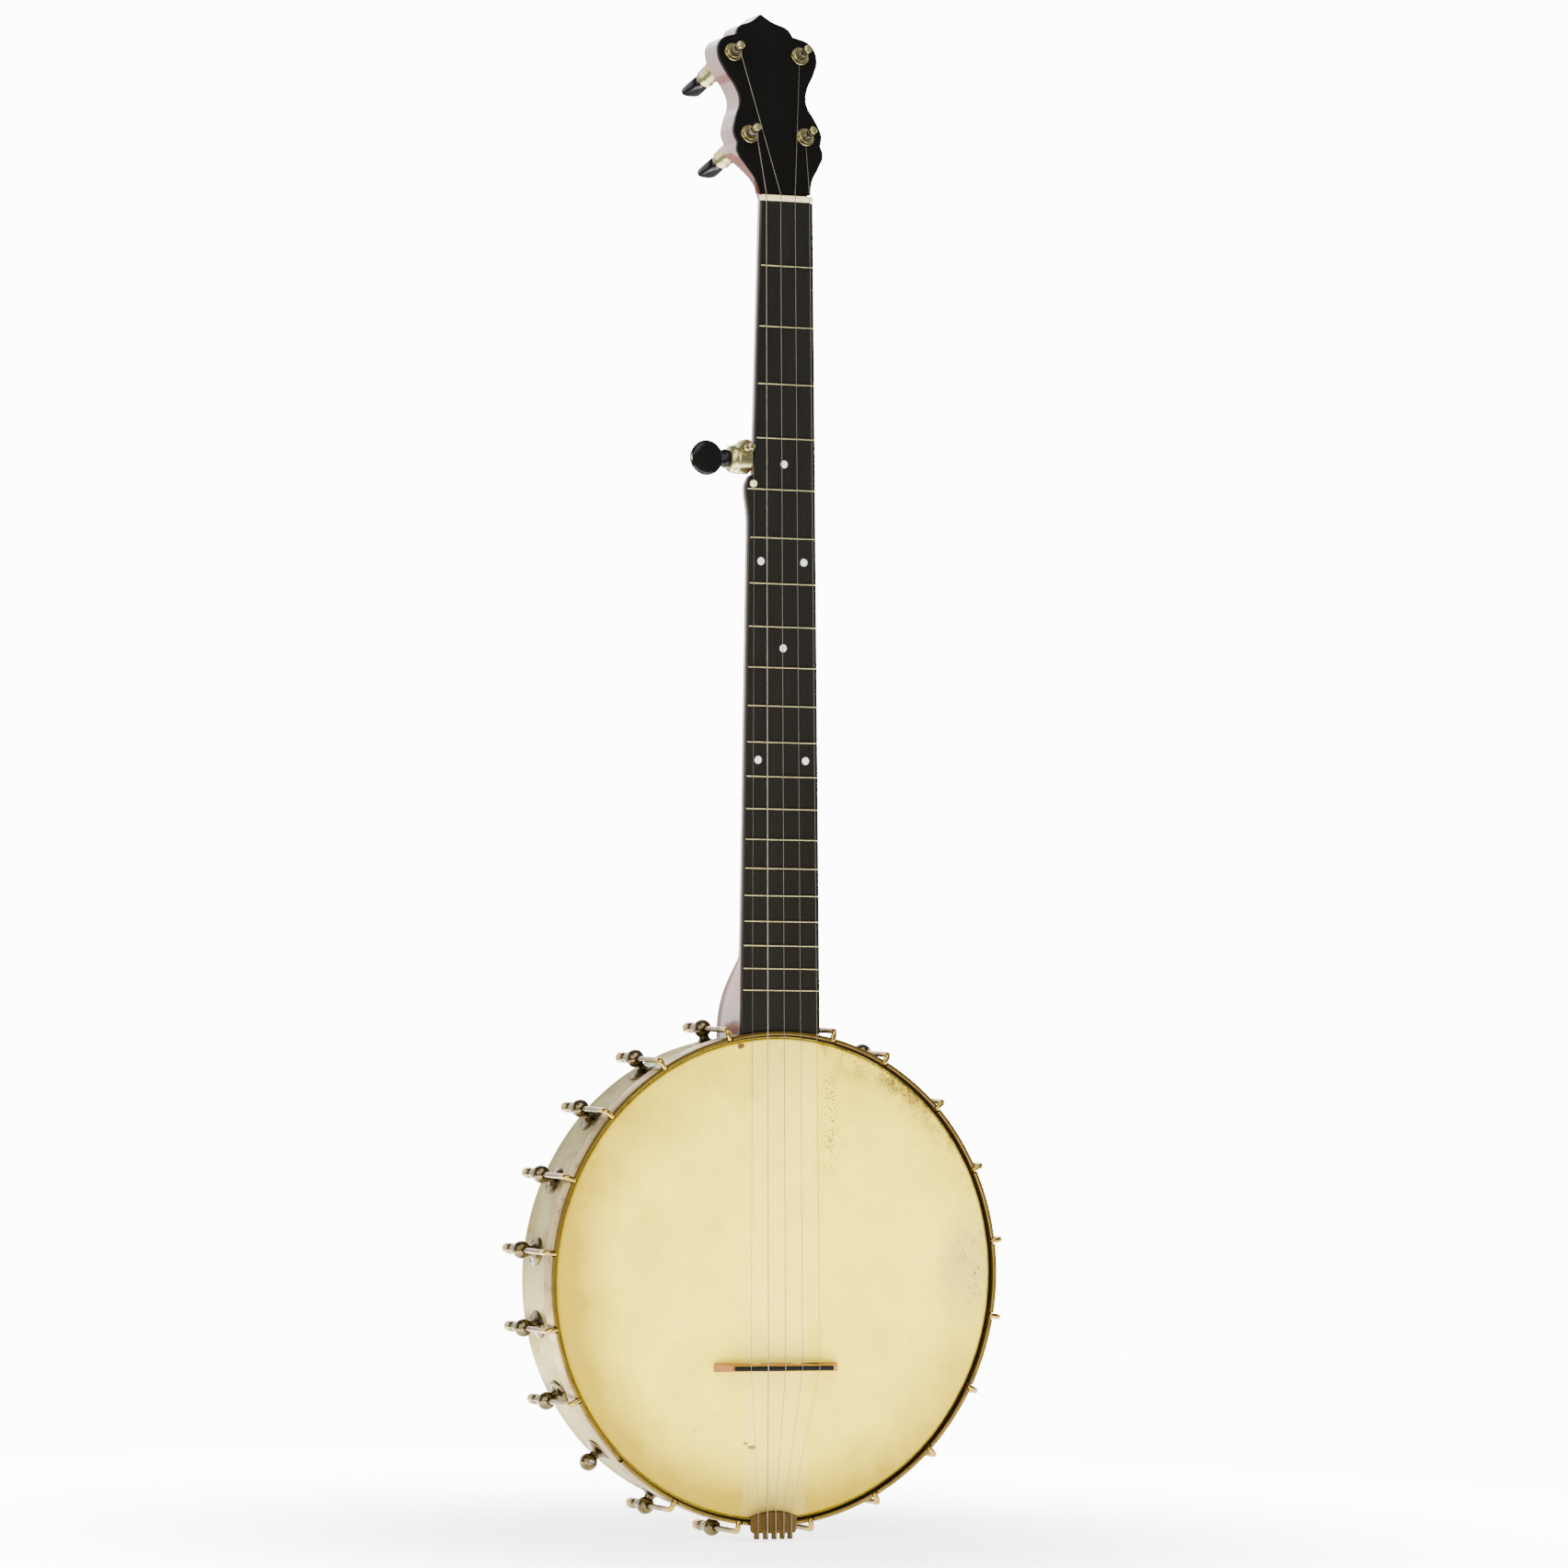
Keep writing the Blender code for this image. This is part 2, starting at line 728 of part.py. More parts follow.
def heel_depth(s):
    """Depth of wood behind the board: a slow taper, then the heel's quarter round."""
    share = max(0.0, min(1.0, s / NECK_LENGTH))
    plain = NECK_BACK_NUT + (NECK_BACK_HEEL - NECK_BACK_NUT) * share
    start = NECK_LENGTH - HEEL_CURVE
    if s <= start:
        return plain
    reach = min(1.0, (s - start) / HEEL_CURVE)
    return plain + (HEEL_BACK - plain) * (1.0 - (1.0 - reach) ** HEEL_POWER)


def shaft_mesh():
    heel_start = NECK_LENGTH - HEEL_CURVE
    stations = [0.0, 0.06, FIFTH_PEG_S - 0.012]
    stations += horn_stations()
    stations += [0.26, 0.36, heel_start - 0.004]
    stations += [heel_start + HEEL_CURVE * share for share in (0.02, 0.1, 0.22, 0.4, 0.6, 0.8, 1.15)]
    sections = []
    for s, front in ((-0.0140, 0.0115), (-0.0052, 0.0078), (-NUT_T + 0.0002, GLUE_Y)):
        sections.append(neck_section(s, front, NECK_BACK_NUT + GLUE_Y - front, NECK_POWER))
    for s in stations:
        share = max(0.0, min(1.0, (s - heel_start) / HEEL_CURVE))
        power = NECK_POWER + 2.4 * share
        sections.append(neck_section(s, GLUE_Y, heel_depth(s), power, HEEL_TAPER * share))
    return loft_mesh("shaft", sections)


def peghead_knots():
    """Half the peghead's outline from its foot up: half width, height, corner."""
    return [
        (0.0166, -0.0015, True),
        (0.0192, 0.0095, False),
        (0.0244, 0.0180, False),
        (0.0286, 0.0265, False),
        (0.0276, 0.0325, True),
        (0.0293, 0.0385, False),
        (0.0268, 0.0475, False),
        (0.0221, 0.0590, False),
        (0.0240, 0.0680, False),
        (0.0296, 0.0780, False),
        (0.0330, 0.0880, False),
        (0.0300, 0.0970, False),
        (0.0190, 0.1014, True),
        (0.0165, 0.1060, False),
        (0.0068, 0.1102, False),
        (0.0, PEG_HEIGHT, True),
    ]


def peghead_plate(name, foot, front, thickness):
    """One layer of the peghead; its sides rake, and its back narrows towards the foot."""
    right = peghead_knots()
    right[0] = (right[0][0], foot, True)
    left = [(-x * PEG_LEFT_SHARE, z, corner) for x, z, corner in reversed(right[:-1])]
    mesh = plate_mesh(name, right + left, thickness, 3)
    for vertex in mesh.vertices:
        depth = front + thickness / 2 - vertex.co.z
        share = max(0.0, min(1.0, depth / (WOOD_Y + PEG_WOOD_T)))
        rise = max(0.0, min(1.0, vertex.co.y / PEG_FOOT_RISE))
        vertex.co.x *= 1.0 - share * (1.0 - PEG_FOOT_SHARE) * (1.0 - rise**2)
        vertex.co.y += depth * math.tan(PEG_SIDE_RAKE)
    return mesh


def peg_plate_matrix(front, thickness):
    """Stands a plate drawn in XY up in the peghead's frame, its front at a depth."""
    return Matrix.Translation((0.0, front + thickness / 2, 0.0)) @ Y_FORWARD


def tuner_places():
    """Peghead places of tuners one to four: right low, right high, left high, left low."""
    low_x, low_z = LOWER_TUNER
    high_x, high_z = UPPER_TUNER
    return [(low_x, low_z), (high_x, high_z), (-high_x, high_z), (-low_x, low_z)]


def tuner_holes_mesh():
    reach = OVERLAY_T + PEG_WOOD_T + 0.004
    hole = rod_mesh("hole", BUSH_R + GAP, (0.0, -0.002, 0.0), (0.0, reach, 0.0))
    pieces = [(hole, Matrix.Translation((x, 0.0, z))) for x, z in tuner_places()]
    return joined_mesh("tuner_holes", pieces)


def pot_clearance_mesh():
    """The space that the rim and the hoop take from the neck's end."""
    step = HOOP_BACK + GAP
    profile = [
        (0.0, RIM_DEPTH),
        (HOOP_OUT_R + GAP, RIM_DEPTH),
        (HOOP_OUT_R + GAP, -step),
        (RIM_R + GAP, -step),
        (RIM_R + GAP, -RIM_DEPTH),
        (0.0, -RIM_DEPTH),
    ]
    return turned_mesh("pot_clearance", profile, RING_STEPS)


def dowel_box_mesh(name, gap):
    top = POT_Z + RIM_R + DOWEL_TENON + gap
    low = POT_Z - WOOD_IN_R * math.cos(math.radians(180.0 / RING_STEPS)) + GAP
    size = (DOWEL_W + 2 * gap, DOWEL_D + 2 * gap, top - low)
    return box_mesh(name, size, (0.0, DOWEL_Y, (top + low) / 2), 0.0012 if gap == 0 else 0.0)


def make_neck(neck_axis, peg_axis, cuts):
    neck = add("neck", shaft_mesh(), "mahogany", neck_axis)
    plate = peghead_plate("peghead_wood", -0.0015, WOOD_Y, PEG_WOOD_T)
    matrix = peg_plate_matrix(WOOD_Y, PEG_WOOD_T)
    boolean(neck, guide("peghead_wood", plate, peg_axis, matrix), "UNION")
    boolean(neck, cuts["pot"], "DIFFERENCE")
    boolean(neck, cuts["dowel"], "DIFFERENCE")
    boolean(neck, cuts["tuners"], "DIFFERENCE")
    boolean(neck, cuts["fifth"], "DIFFERENCE")
    return neck


def board_outline():
    """The fingerboard's outline in the neck's frame, as (x, z) corners."""
    end = NECK_LENGTH + 0.004
    right = [(right_edge(0.0), 0.0), (right_edge(NECK_LENGTH), end)]
    left = [(-left_edge(s), s) for s in [0.0] + horn_stations() + [0.26]]
    left.append((-left_edge(NECK_LENGTH), end))
    points = right + list(reversed(left))
    return [(x, along_neck(s), True) for x, s in points]


def frets_mesh():
    """Twenty half-round wires, each sunk to its middle in the board."""
    pieces = []
    for number in range(1, FRETS + 1):
        s = fret_distance(number)
        left, right = -left_edge(s) + FRET_INSET, right_edge(s) - FRET_INSET
        wire = rod_mesh("fret", FRET_R, (left, 0.0, along_neck(s)), (right, 0.0, along_neck(s)), 6)
        wire.transform(Matrix.Translation((0.0, 0.0002, 0.0)))
        pieces.append((wire, Matrix.Identity(4)))
    return joined_mesh("frets", pieces)


def make_fingerboard(neck_axis, cuts):
    plate = plate_mesh("fingerboard", board_outline(), BOARD_T, 1)
    matrix = Matrix.Translation((0.0, BOARD_T / 2, 0.0)) @ Y_FORWARD
    board = add("fingerboard", plate, "ebony", neck_axis, matrix)
    boolean(board, guide("frets", frets_mesh(), neck_axis), "UNION")
    boolean(board, cuts["pot"], "DIFFERENCE")
    boolean(board, cuts["pip"], "DIFFERENCE")
    return board


def make_overlay(peg_axis, cuts):
    plate = peghead_plate("peghead_overlay", OVERLAY_START, 0.0, OVERLAY_T)
    overlay = add("peghead_overlay", plate, "ebony", peg_axis, peg_plate_matrix(0.0, OVERLAY_T))
    boolean(overlay, cuts["tuners"], "DIFFERENCE")
    return overlay


def nut_string_x(index):
    """Place of a long string at the nut; index 0 is the first, at the right."""
    return NUT_STRINGS_X + NUT_PITCH * (1.5 - index)


def make_nut(neck_axis):
    height = GLUE_Y - GAP + NUT_PROUD
    width = NUT_HALF_RIGHT + NUT_HALF_LEFT + 0.0006
    centre = (
        (NUT_HALF_RIGHT - NUT_HALF_LEFT) / 2,
        height / 2 - NUT_PROUD,
        NECK_LENGTH + NUT_T / 2,
    )
    mesh = box_mesh("nut", (width, height, NUT_T - 2 * GAP), centre, 0.0005)
    nut = add("nut", mesh, "bone", neck_axis)
    slots = []
    for index in range(4):
        radius = STRING_R[index] + GAP
        x, y = nut_string_x(index), -ACTION_NUT
        slot = box_mesh("slot", (2 * radius, 0.002, 0.02), (x, y + radius - 0.001, NECK_LENGTH))
        slots.append((slot, Matrix.Identity(4)))
    boolean(nut, guide("nut_slots", joined_mesh("nut_slots", slots), neck_axis), "DIFFERENCE")
    return nut


def pip_place():
    return PIP_STRING_X, along_neck(fret_distance(FIFTH_FRET) - PIP_BEFORE_FRET)


def make_pip(neck_axis):
    x, z = pip_place()
    head = PIP_PROUD
    profile = [
        (0.0, head),
        (PIP_R * 0.8, head),
        (PIP_R, head - 0.0004),
        (PIP_R, -PIP_DEPTH),
        (0.0, -PIP_DEPTH),
    ]
    matrix = Matrix.Translation((x, 0.0, z)) @ Y_FORWARD
    pip = add("fifth_string_pip", turned_mesh("pip", profile, 12), "bone", neck_axis, matrix)
    radius = STRING_R[4] + GAP
    centre = (x, -PIP_PROUD, z)
    slot = box_mesh("pip_slot", (2 * radius, 2 * (PIP_PROUD - ACTION_NUT) + 2 * radius, 0.02), centre)
    boolean(pip, guide("pip_slot", slot, neck_axis), "DIFFERENCE")
    return pip


def make_dowel():
    return add("dowel_stick", dowel_box_mesh("dowel_stick", 0.0), "maple")


def make_brace():
    """A plate round the dowel stick that bears on the inside of the rim."""
    half = BRACE_W / 2
    top = POT_Z + math.sqrt((WOOD_IN_R - GAP) ** 2 - half**2) - 0.0004
    mesh = box_mesh("neck_brace", (BRACE_W, BRACE_D, BRACE_T), (0.0, DOWEL_Y, top - BRACE_T / 2), 0.0004)
    brace = add("neck_brace", mesh, "nickel")
    boolean(brace, guide("brace_hole", dowel_box_mesh("brace_hole", GAP)), "DIFFERENCE")
    return brace


# Tuners


def make_tuner(number, place, peg_axis):
    """A planetary tuner: barrel, front nut, string post and button on one axis."""
    x, z = place
    back = OVERLAY_T + GAP + PEG_WOOD_T + GAP
    matrix = Matrix.Translation((x, 0.0, z)) @ Y_FORWARD
    bore = POST_R + GAP
    rear_bore = BUTTON_STEM_R + GAP
    end = back + BARREL_LENGTH
    front = -GAP - TUNER_NUT_T
    housing = [
        (bore, -front + 0.0006),
        (BUSH_R - 0.0008, -front + 0.0006),
        (BUSH_R - 0.0008, 0.0),
        (BUSH_R, 0.0),
        (BUSH_R, -back),
        (BARREL_R, -back),
        (BARREL_R, -back - 0.42 * BARREL_LENGTH),
        (BARREL_R - 0.0007, -back - 0.46 * BARREL_LENGTH),
        (BARREL_R - 0.0007, -back - 0.54 * BARREL_LENGTH),
        (BARREL_R, -back - 0.58 * BARREL_LENGTH),
        (BARREL_R - 0.0004, -end),
        (rear_bore, -end),
        (rear_bore, -end + 0.0040),
        (0.0, -end + 0.0040),
        (0.0, -0.0120),
        (bore, -0.0120),
    ]
    add(f"tuner_housing_{number}", closed_turned(f"housing_{number}", housing, 12), "nickel", peg_axis, matrix)
    nut_bore = BUSH_R - 0.0008 + GAP
    ring = [
        (nut_bore, -GAP),
        (TUNER_NUT_R, -GAP),
        (TUNER_NUT_R, -front - GAP - 0.0008),
        (TUNER_NUT_R - 0.0010, -front - GAP),
        (nut_bore, -front - GAP),
    ]
    ring = [(r, z if z > 0 else GAP) for r, z in ring]
    nut = add(
        f"tuner_nut_{number}",
        turned_mesh(f"tuner_nut_{number}", ring, 12, closed=True),
        "nickel",
        peg_axis,
        matrix,
    )
    slots = box_mesh("nut_notch", (4 * TUNER_NUT_R, 0.0016, 0.0016), (0.0, 0.0, -front))
    boolean(nut, guide(f"nut_notch_{number}", slots, peg_axis, matrix), "DIFFERENCE")
    tip = POST_LENGTH
    post = [
        (0.0, tip),
        (POST_TIP_R * 0.8, tip - 0.0004),
        (POST_TIP_R, tip - 0.0018),
        (POST_TIP_R * 0.7, tip - 0.0034),
        (POST_R * 0.72, tip - 0.0040),
        (POST_R * 0.72, -front + 0.0016),
        (POST_R, -front + 0.0010),
        (POST_R, -0.0117),
        (0.0, -0.0117),
    ]
    add(f"tuner_post_{number}", turned_mesh(f"tuner_post_{number}", post, 10), "nickel", peg_axis, matrix)
    button = button_mesh(f"tuner_button_{number}", -end - GAP)
    add(f"tuner_button_{number}", button, "button", peg_axis, matrix)


def closed_turned(name, profile, steps):
    """A turned solid whose profile meets the axis only in a web inside it."""
    return turned_mesh(name, profile, steps, closed=True)


def button_mesh(name, start):
    """A flat tapering button with its stem, lofted along its own axis."""
    count = 12
    stations = (
        (start + 0.0036, BUTTON_STEM_R, BUTTON_STEM_R),
        (start, BUTTON_STEM_R, BUTTON_STEM_R),
        (start - 0.0001, BUTTON_HALF_T * 1.15, BUTTON_HALF_T * 1.15),
        (start - 0.0040, BUTTON_HALF_W * 0.72, BUTTON_HALF_T),
        (start - BUTTON_LENGTH * 0.62, BUTTON_HALF_W, BUTTON_HALF_T * 0.86),
        (start - BUTTON_LENGTH * 0.92, BUTTON_HALF_W * 0.78, BUTTON_HALF_T * 0.66),
        (start - BUTTON_LENGTH, BUTTON_HALF_W * 0.40, BUTTON_HALF_T * 0.40),
    )
    sections = []
    for z, half_x, half_y in stations:
        angles = [2 * math.pi * i / count for i in range(count)]
        sections.append([(half_x * math.cos(a), half_y * math.sin(a), z) for a in angles])
    return loft_mesh(name, sections)


def fifth_matrix():
    """Frame of the fifth peg: local Z runs out of the neck's left side."""
    turn = Matrix.Rotation(math.radians(-90), 4, "Y")
    x = -left_edge(FIFTH_PEG_S)
    return Matrix.Translation((x, FIFTH_PEG_Y, along_neck(FIFTH_PEG_S))) @ turn


def make_fifth_peg(neck_axis):
    """The geared peg: a barrel on a shank, a post square to it and a disc button."""
    shank, body = FIFTH_SHANK_L, FIFTH_BODY_L
    seat = GAP
    bore = BUTTON_STEM_R + GAP
    profile = [
        (0.0, -shank),
        (FIFTH_SHANK_R, -shank),
        (FIFTH_SHANK_R, seat),
        (FIFTH_BODY_R, seat),
        (FIFTH_BODY_R, seat + body * 0.66),
        (FIFTH_BODY_R * 0.94, seat + body * 0.70),
        (FIFTH_BODY_R * 0.94, seat + body * 0.84),
        (FIFTH_BODY_R * 0.78, seat + body),
        (bore, seat + body),
        (bore, seat + body - 0.0040),
        (0.0, seat + body - 0.0040),
    ]
    matrix = fifth_matrix()
    housing = add(
        "fifth_peg_housing",
        turned_mesh("fifth_peg_housing", profile, 16),
        "nickel",
        neck_axis,
        matrix,
    )
    post_x, post_z = fifth_post_place()
    boss = rod_mesh("fifth_boss", FIFTH_BOSS_R, (post_x, 0.0060, post_z), (post_x, FIFTH_BOSS_Y, post_z))
    boolean(housing, guide("fifth_boss", boss, neck_axis), "UNION")
    well = rod_mesh("fifth_well", POST_R + GAP, (post_x, 0.0050, post_z), (post_x, -0.02, post_z))
    boolean(housing, guide("fifth_well", well, neck_axis), "DIFFERENCE")
    make_fifth_post(neck_axis, post_x, post_z)
    make_fifth_button(neck_axis, matrix, seat + body + GAP)


FIFTH_BOSS_Y = FIFTH_PEG_Y - FIFTH_BODY_R - 0.0012


def fifth_post_place():
    x = -left_edge(FIFTH_PEG_S) - FIFTH_BODY_L * 0.42
    return x, along_neck(FIFTH_PEG_S) + FIFTH_POST_RISE


def make_fifth_post(neck_axis, x, z):
    seat = -(0.0050 - GAP)
    top = -FIFTH_BOSS_Y + FIFTH_POST_PROUD
    profile = [
        (0.0, top),
        (POST_TIP_R * 0.8, top - 0.0003),
        (POST_TIP_R, top - 0.0014),
        (POST_TIP_R * 0.7, top - 0.0026),
        (POST_TIP_R * 0.7, -FIFTH_BOSS_Y + 0.0022),
        (POST_R, -FIFTH_BOSS_Y + 0.0014),
        (POST_R, seat),
        (0.0, seat),
    ]
    matrix = Matrix.Translation((x, 0.0, z)) @ Y_FORWARD
    mesh = turned_mesh("fifth_peg_post", profile, 10)
    add("fifth_peg_post", mesh, "nickel", neck_axis, matrix)


def make_fifth_button(neck_axis, matrix, start):
    """A thick disc on edge with a turned collar, and its stem in the barrel."""
    count = 16
    neck_end = start + FIFTH_NECK_L
    reach = 2 * FIFTH_BUTTON_R
    stations = [
        (start - 0.0036, BUTTON_STEM_R, BUTTON_STEM_R),
        (start, BUTTON_STEM_R, BUTTON_STEM_R),
        (start + 0.0001, 0.0052, 0.0052),
        (start + FIFTH_NECK_L * 0.55, 0.0056, 0.0052),
        (neck_end, 0.0046, 0.0030),
    ]
    for share in (0.10, 0.28, 0.52, 0.76, 0.93):
        half = FIFTH_BUTTON_R * math.sqrt(1.0 - (2 * share - 1.0) ** 2)
        thick = FIFTH_BUTTON_T / 2 * (0.62 + 0.38 * half / FIFTH_BUTTON_R)
        stations.append((neck_end + reach * share - 0.0012, half, thick))
    sections = []
    for z, half_x, half_y in stations:
        angles = [2 * math.pi * i / count for i in range(count)]
        sections.append([(half_x * math.cos(a), half_y * math.sin(a), z) for a in angles])
    add("fifth_peg_button", loft_mesh("fifth_peg_button", sections), "button", neck_axis, matrix)


# Bridge, tailpiece and strings


def bridge_line():
    """World height of the strings' rest on the bridge, and the string plane's depth there."""
    s = SCALE_LENGTH + BRIDGE_SETBACK
    local = Vector((0.0, -STRING_AT_BRIDGE, along_neck(s)))
    return neck_matrix() @ local


def neck_matrix():
    return Matrix.Translation(NECK_FOOT) @ Matrix.Rotation(-NECK_TILT, 4, "X")


def peg_matrix():
    place = Matrix.Translation((PEG_OFFSET, PEG_DROP, NECK_LENGTH + PEG_START))
    return place @ Matrix.Rotation(-PEG_TILT, 4, "X")


def bridge_string_x(index):
    return BRIDGE_X + BRIDGE_PITCH * (2 - index)


def bridge_height():
    """From the head to the top of the bridge's cap."""
    return HEAD_FRONT - bridge_line().y - GAP


def make_bridge():
    """Three feet, two arches and a dark cap; the sides thin towards the top."""
    top = bridge_height() - GAP - BRIDGE_CAP_H
    half, top_half = BRIDGE_HALF_L, BRIDGE_TOP_HALF_L
    foot = GAP
    outline = [(-half, foot)]
    for centre in (-BRIDGE_ARCH_X, BRIDGE_ARCH_X):
        wide, high = BRIDGE_ARCH_HALF_W, BRIDGE_ARCH_H
        outline.append((centre - wide, foot))
        outline += [
            (centre + wide * math.cos(a), foot + high * math.sin(a))
            for a in [math.radians(angle) for angle in (150, 120, 90, 60, 30)]
        ]
        outline.append((centre + wide, foot))
    outline += [(half, foot), (half, foot + 0.0024), (top_half + 0.0014, top)]
    outline += [(-top_half - 0.0014, top), (-half, foot + 0.0024)]
    knots = [(x, y, True) for x, y in outline]
    mesh = plate_mesh("bridge_base", knots, BRIDGE_FOOT_T, 1)
    for vertex in mesh.vertices:
        share = (vertex.co.y - foot) / (top - foot)
        vertex.co.z *= 1.0 - share * (1.0 - BRIDGE_TOP_T / BRIDGE_FOOT_T)
    place = Vector((BRIDGE_X, HEAD_FRONT, bridge_line().z))
    matrix = Matrix.Translation(place) @ Matrix.Rotation(math.radians(180), 4, "X")
    add("bridge_base", mesh, "maple", None, matrix)
    cap_y = HEAD_FRONT - top - GAP - BRIDGE_CAP_H / 2
    size = (2 * top_half, BRIDGE_CAP_H, BRIDGE_TOP_T)
    cap = add("bridge_cap", box_mesh("bridge_cap", size, (BRIDGE_X, cap_y, place.z), 0.0004), "ebony")
    slots = []
    for index in range(5):
        radius = STRING_R[index] + GAP
        slot = box_mesh(
            "slot", (2 * radius, 2 * radius, 0.02), (bridge_string_x(index), bridge_line().y, place.z)
        )
        slots.append((slot, Matrix.Identity(4)))
    boolean(cap, guide("cap_slots", joined_mesh("cap_slots", slots)), "DIFFERENCE")


def tail_plate_y(x, z):
    """Front face depth of the domed plate; z is measured down from the pot's centre."""
    share = (z - TAIL_TOP) / (TAIL_FOOT - TAIL_TOP)
    rise = TAIL_DOME * (1.0 - (x / TAIL_HALF_W) ** 2) * (1.0 - 0.35 * (1.0 - share))
    return HOOP_FRONT - HOOK_PROUD - GAP - TAIL_PLATE_T - rise


def make_tailpiece():
    """A domed plate over the hoop, five fingers for the loops and a strap to the bolt."""
    mesh = bpy.data.meshes.new("tailpiece")
    columns, rows = 8, 3
    bm = bmesh.new()
    bmesh.ops.create_grid(bm, x_segments=columns, y_segments=rows, size=0.5)
    for vertex in bm.verts:
        x = vertex.co.x * 2 * TAIL_HALF_W
        share = 0.5 - vertex.co.y
        top = TAIL_TOP + 0.0034 * (x / TAIL_HALF_W) ** 2
        z = top + (TAIL_FOOT - top) * share
        vertex.co = (x, tail_plate_y(x, z) + TAIL_PLATE_T / 2, POT_Z - z)
    bm.to_mesh(mesh)
    bm.free()
    tail = add("tailpiece", mesh, "bronze")
    solid = tail.modifiers.new("sheet", "SOLIDIFY")
    solid.thickness = TAIL_PLATE_T
    solid.offset = 0.0
    boolean(tail, guide("tail_fingers", tail_fingers_mesh()), "UNION")
    boolean(tail, guide("tail_strap", tail_strap_mesh()), "UNION")
    hole = rod_mesh(
        "tail_hole",
        END_BOLT_R + GAP,
        (0.0, END_BOLT_Y, POT_Z - RIM_R + 0.002),
        (0.0, END_BOLT_Y, POT_Z - RIM_R - 0.006),
    )
    boolean(tail, guide("tail_hole", hole), "DIFFERENCE")
    return tail


def finger_x(index):
    return TAIL_PITCH * (2 - index)


def finger_y(index):
    return tail_plate_y(finger_x(index), TAIL_FOOT) + TAIL_FINGER_R * 0.4


def tail_fingers_mesh():
    pieces = []
    for index in range(5):
        x = finger_x(index)
        y = finger_y(index)
        low = POT_Z - TAIL_FOOT
        points = [
            (x, y, low + 0.0010),
            (x, y, low - TAIL_FINGER_L * 0.7),
            (x, y + 0.0012, low - TAIL_FINGER_L),
            (x, y + 0.0036, low - TAIL_FINGER_L),
        ]
        pieces.append((tube_mesh("finger", points, TAIL_FINGER_R, 1), Matrix.Identity(4)))
    return joined_mesh("tail_fingers", pieces)


def tail_strap_mesh():
    """A bent strip seen from the side as (y, z), given its width along X."""
    thick = TAIL_STRAP_T
    front = tail_plate_y(0.0, TAIL_FOOT) + TAIL_PLATE_T * 0.5
    out = POT_Z - (HOOP_OUT_R + GAP)
    seat = POT_Z - RIM_R - GAP
    back = END_BOLT_Y + 0.0060
    bend = HOOP_BACK + 0.0016
    outline = [
        (front, out),
        (bend, out),
        (bend + 0.0040, seat),
        (back, seat),
        (back, seat - thick),
        (bend + 0.0046, seat - thick),
        (bend + 0.0006, out - thick),
        (front, out - thick),
    ]
    knots = [(y, z, True) for y, z in outline]
    mesh = plate_mesh("tail_strap", knots, TAIL_STRAP_W, 1)
    mesh.transform(Matrix(((0, 0, 1, 0), (1, 0, 0, 0), (0, 1, 0, 0), (0, 0, 0, 1))))
    return mesh


def make_end_bolt():
    """Through the strap, the shell and the rim into the dowel stick's end."""
    out = RIM_R + GAP + TAIL_STRAP_T + GAP
    reach = WOOD_IN_R - 0.0140
    profile = [
        (0.0, out + END_NUT_H),
        (END_NUT_R * 0.55, out + END_NUT_H * 0.9),
        (END_NUT_R, out + END_NUT_H * 0.45),
        (END_NUT_R, out),
        (END_BOLT_R, out),
        (END_BOLT_R, reach),
        (0.0, reach),
    ]
    matrix = Matrix.Translation((0.0, END_BOLT_Y, POT_Z)) @ Matrix.Rotation(math.radians(180), 4, "X")
    return add("end_bolt", turned_mesh("end_bolt", profile, 10), "nickel", None, matrix)


def wrap_points(centre, radius, height, start, end, count, pitch):
    """Turns of string round a post whose axis is local Y, angles in degrees."""
    points = []
    for i in range(count + 1):
        a = math.radians(start + (end - start) * i / count)
        y = height - pitch * i / count
        points.append(Vector((centre[0] + radius * math.cos(a), y, centre[1] + radius * math.sin(a))))
    return points


def string_path(index):
    """World points of one string from its post to its finger."""
    radius = STRING_R[index]
    neck = neck_matrix()
    rest = bridge_line()
    finger = finger_x(index)
    foot_y = finger_y(index) - TAIL_FINGER_R - radius - GAP
    low = POT_Z - TAIL_FOOT
    bridge = Vector((bridge_string_x(index), rest.y, rest.z))
    if index < 4:
        place = tuner_places()[index]
        frame = neck @ peg_matrix()
        right = place[0] > 0
        away = nut_string_x(index) - PEG_OFFSET
        wind = POST_R * 0.72 + GAP + radius
        height = -(GAP + TUNER_NUT_T) - 0.0032
        leave = math.degrees(math.atan2(-place[1], away - place[0]))
        side = leave - 90.0 if right else leave + 90.0
        sweep = -300.0 if right else 300.0
        wrap = wrap_points(place, wind, height, side + sweep, side, 8, -0.0012)
        points = [frame @ p for p in wrap]
        for z in (NECK_LENGTH + NUT_T + 0.0002, NECK_LENGTH - 0.0002):
            points.append(neck @ Vector((nut_string_x(index), -ACTION_NUT, z)))
    else:
        x, z = fifth_post_place()
        pip_x, pip_z = pip_place()
        wind = POST_TIP_R * 0.7 + GAP + radius
        height = FIFTH_BOSS_Y - 0.0030
        leave = math.degrees(math.atan2(pip_z - z, pip_x - x))
        side = leave + 90.0
        wrap = wrap_points((x, z), wind, height, side + 300.0, side, 8, -0.0008)
        points = [neck @ p for p in wrap]
        points.append(neck @ Vector((pip_x, -ACTION_NUT, pip_z)))
    points.append(bridge)
    top_y = tail_plate_y(finger, TAIL_TOP) - radius - 2 * GAP
    points.append(Vector((finger, top_y, POT_Z - TAIL_TOP)))
    points.append(Vector((finger, foot_y, low + 0.0018)))
    points.append(Vector((finger, foot_y, low - TAIL_FINGER_L * 0.6)))
    return points


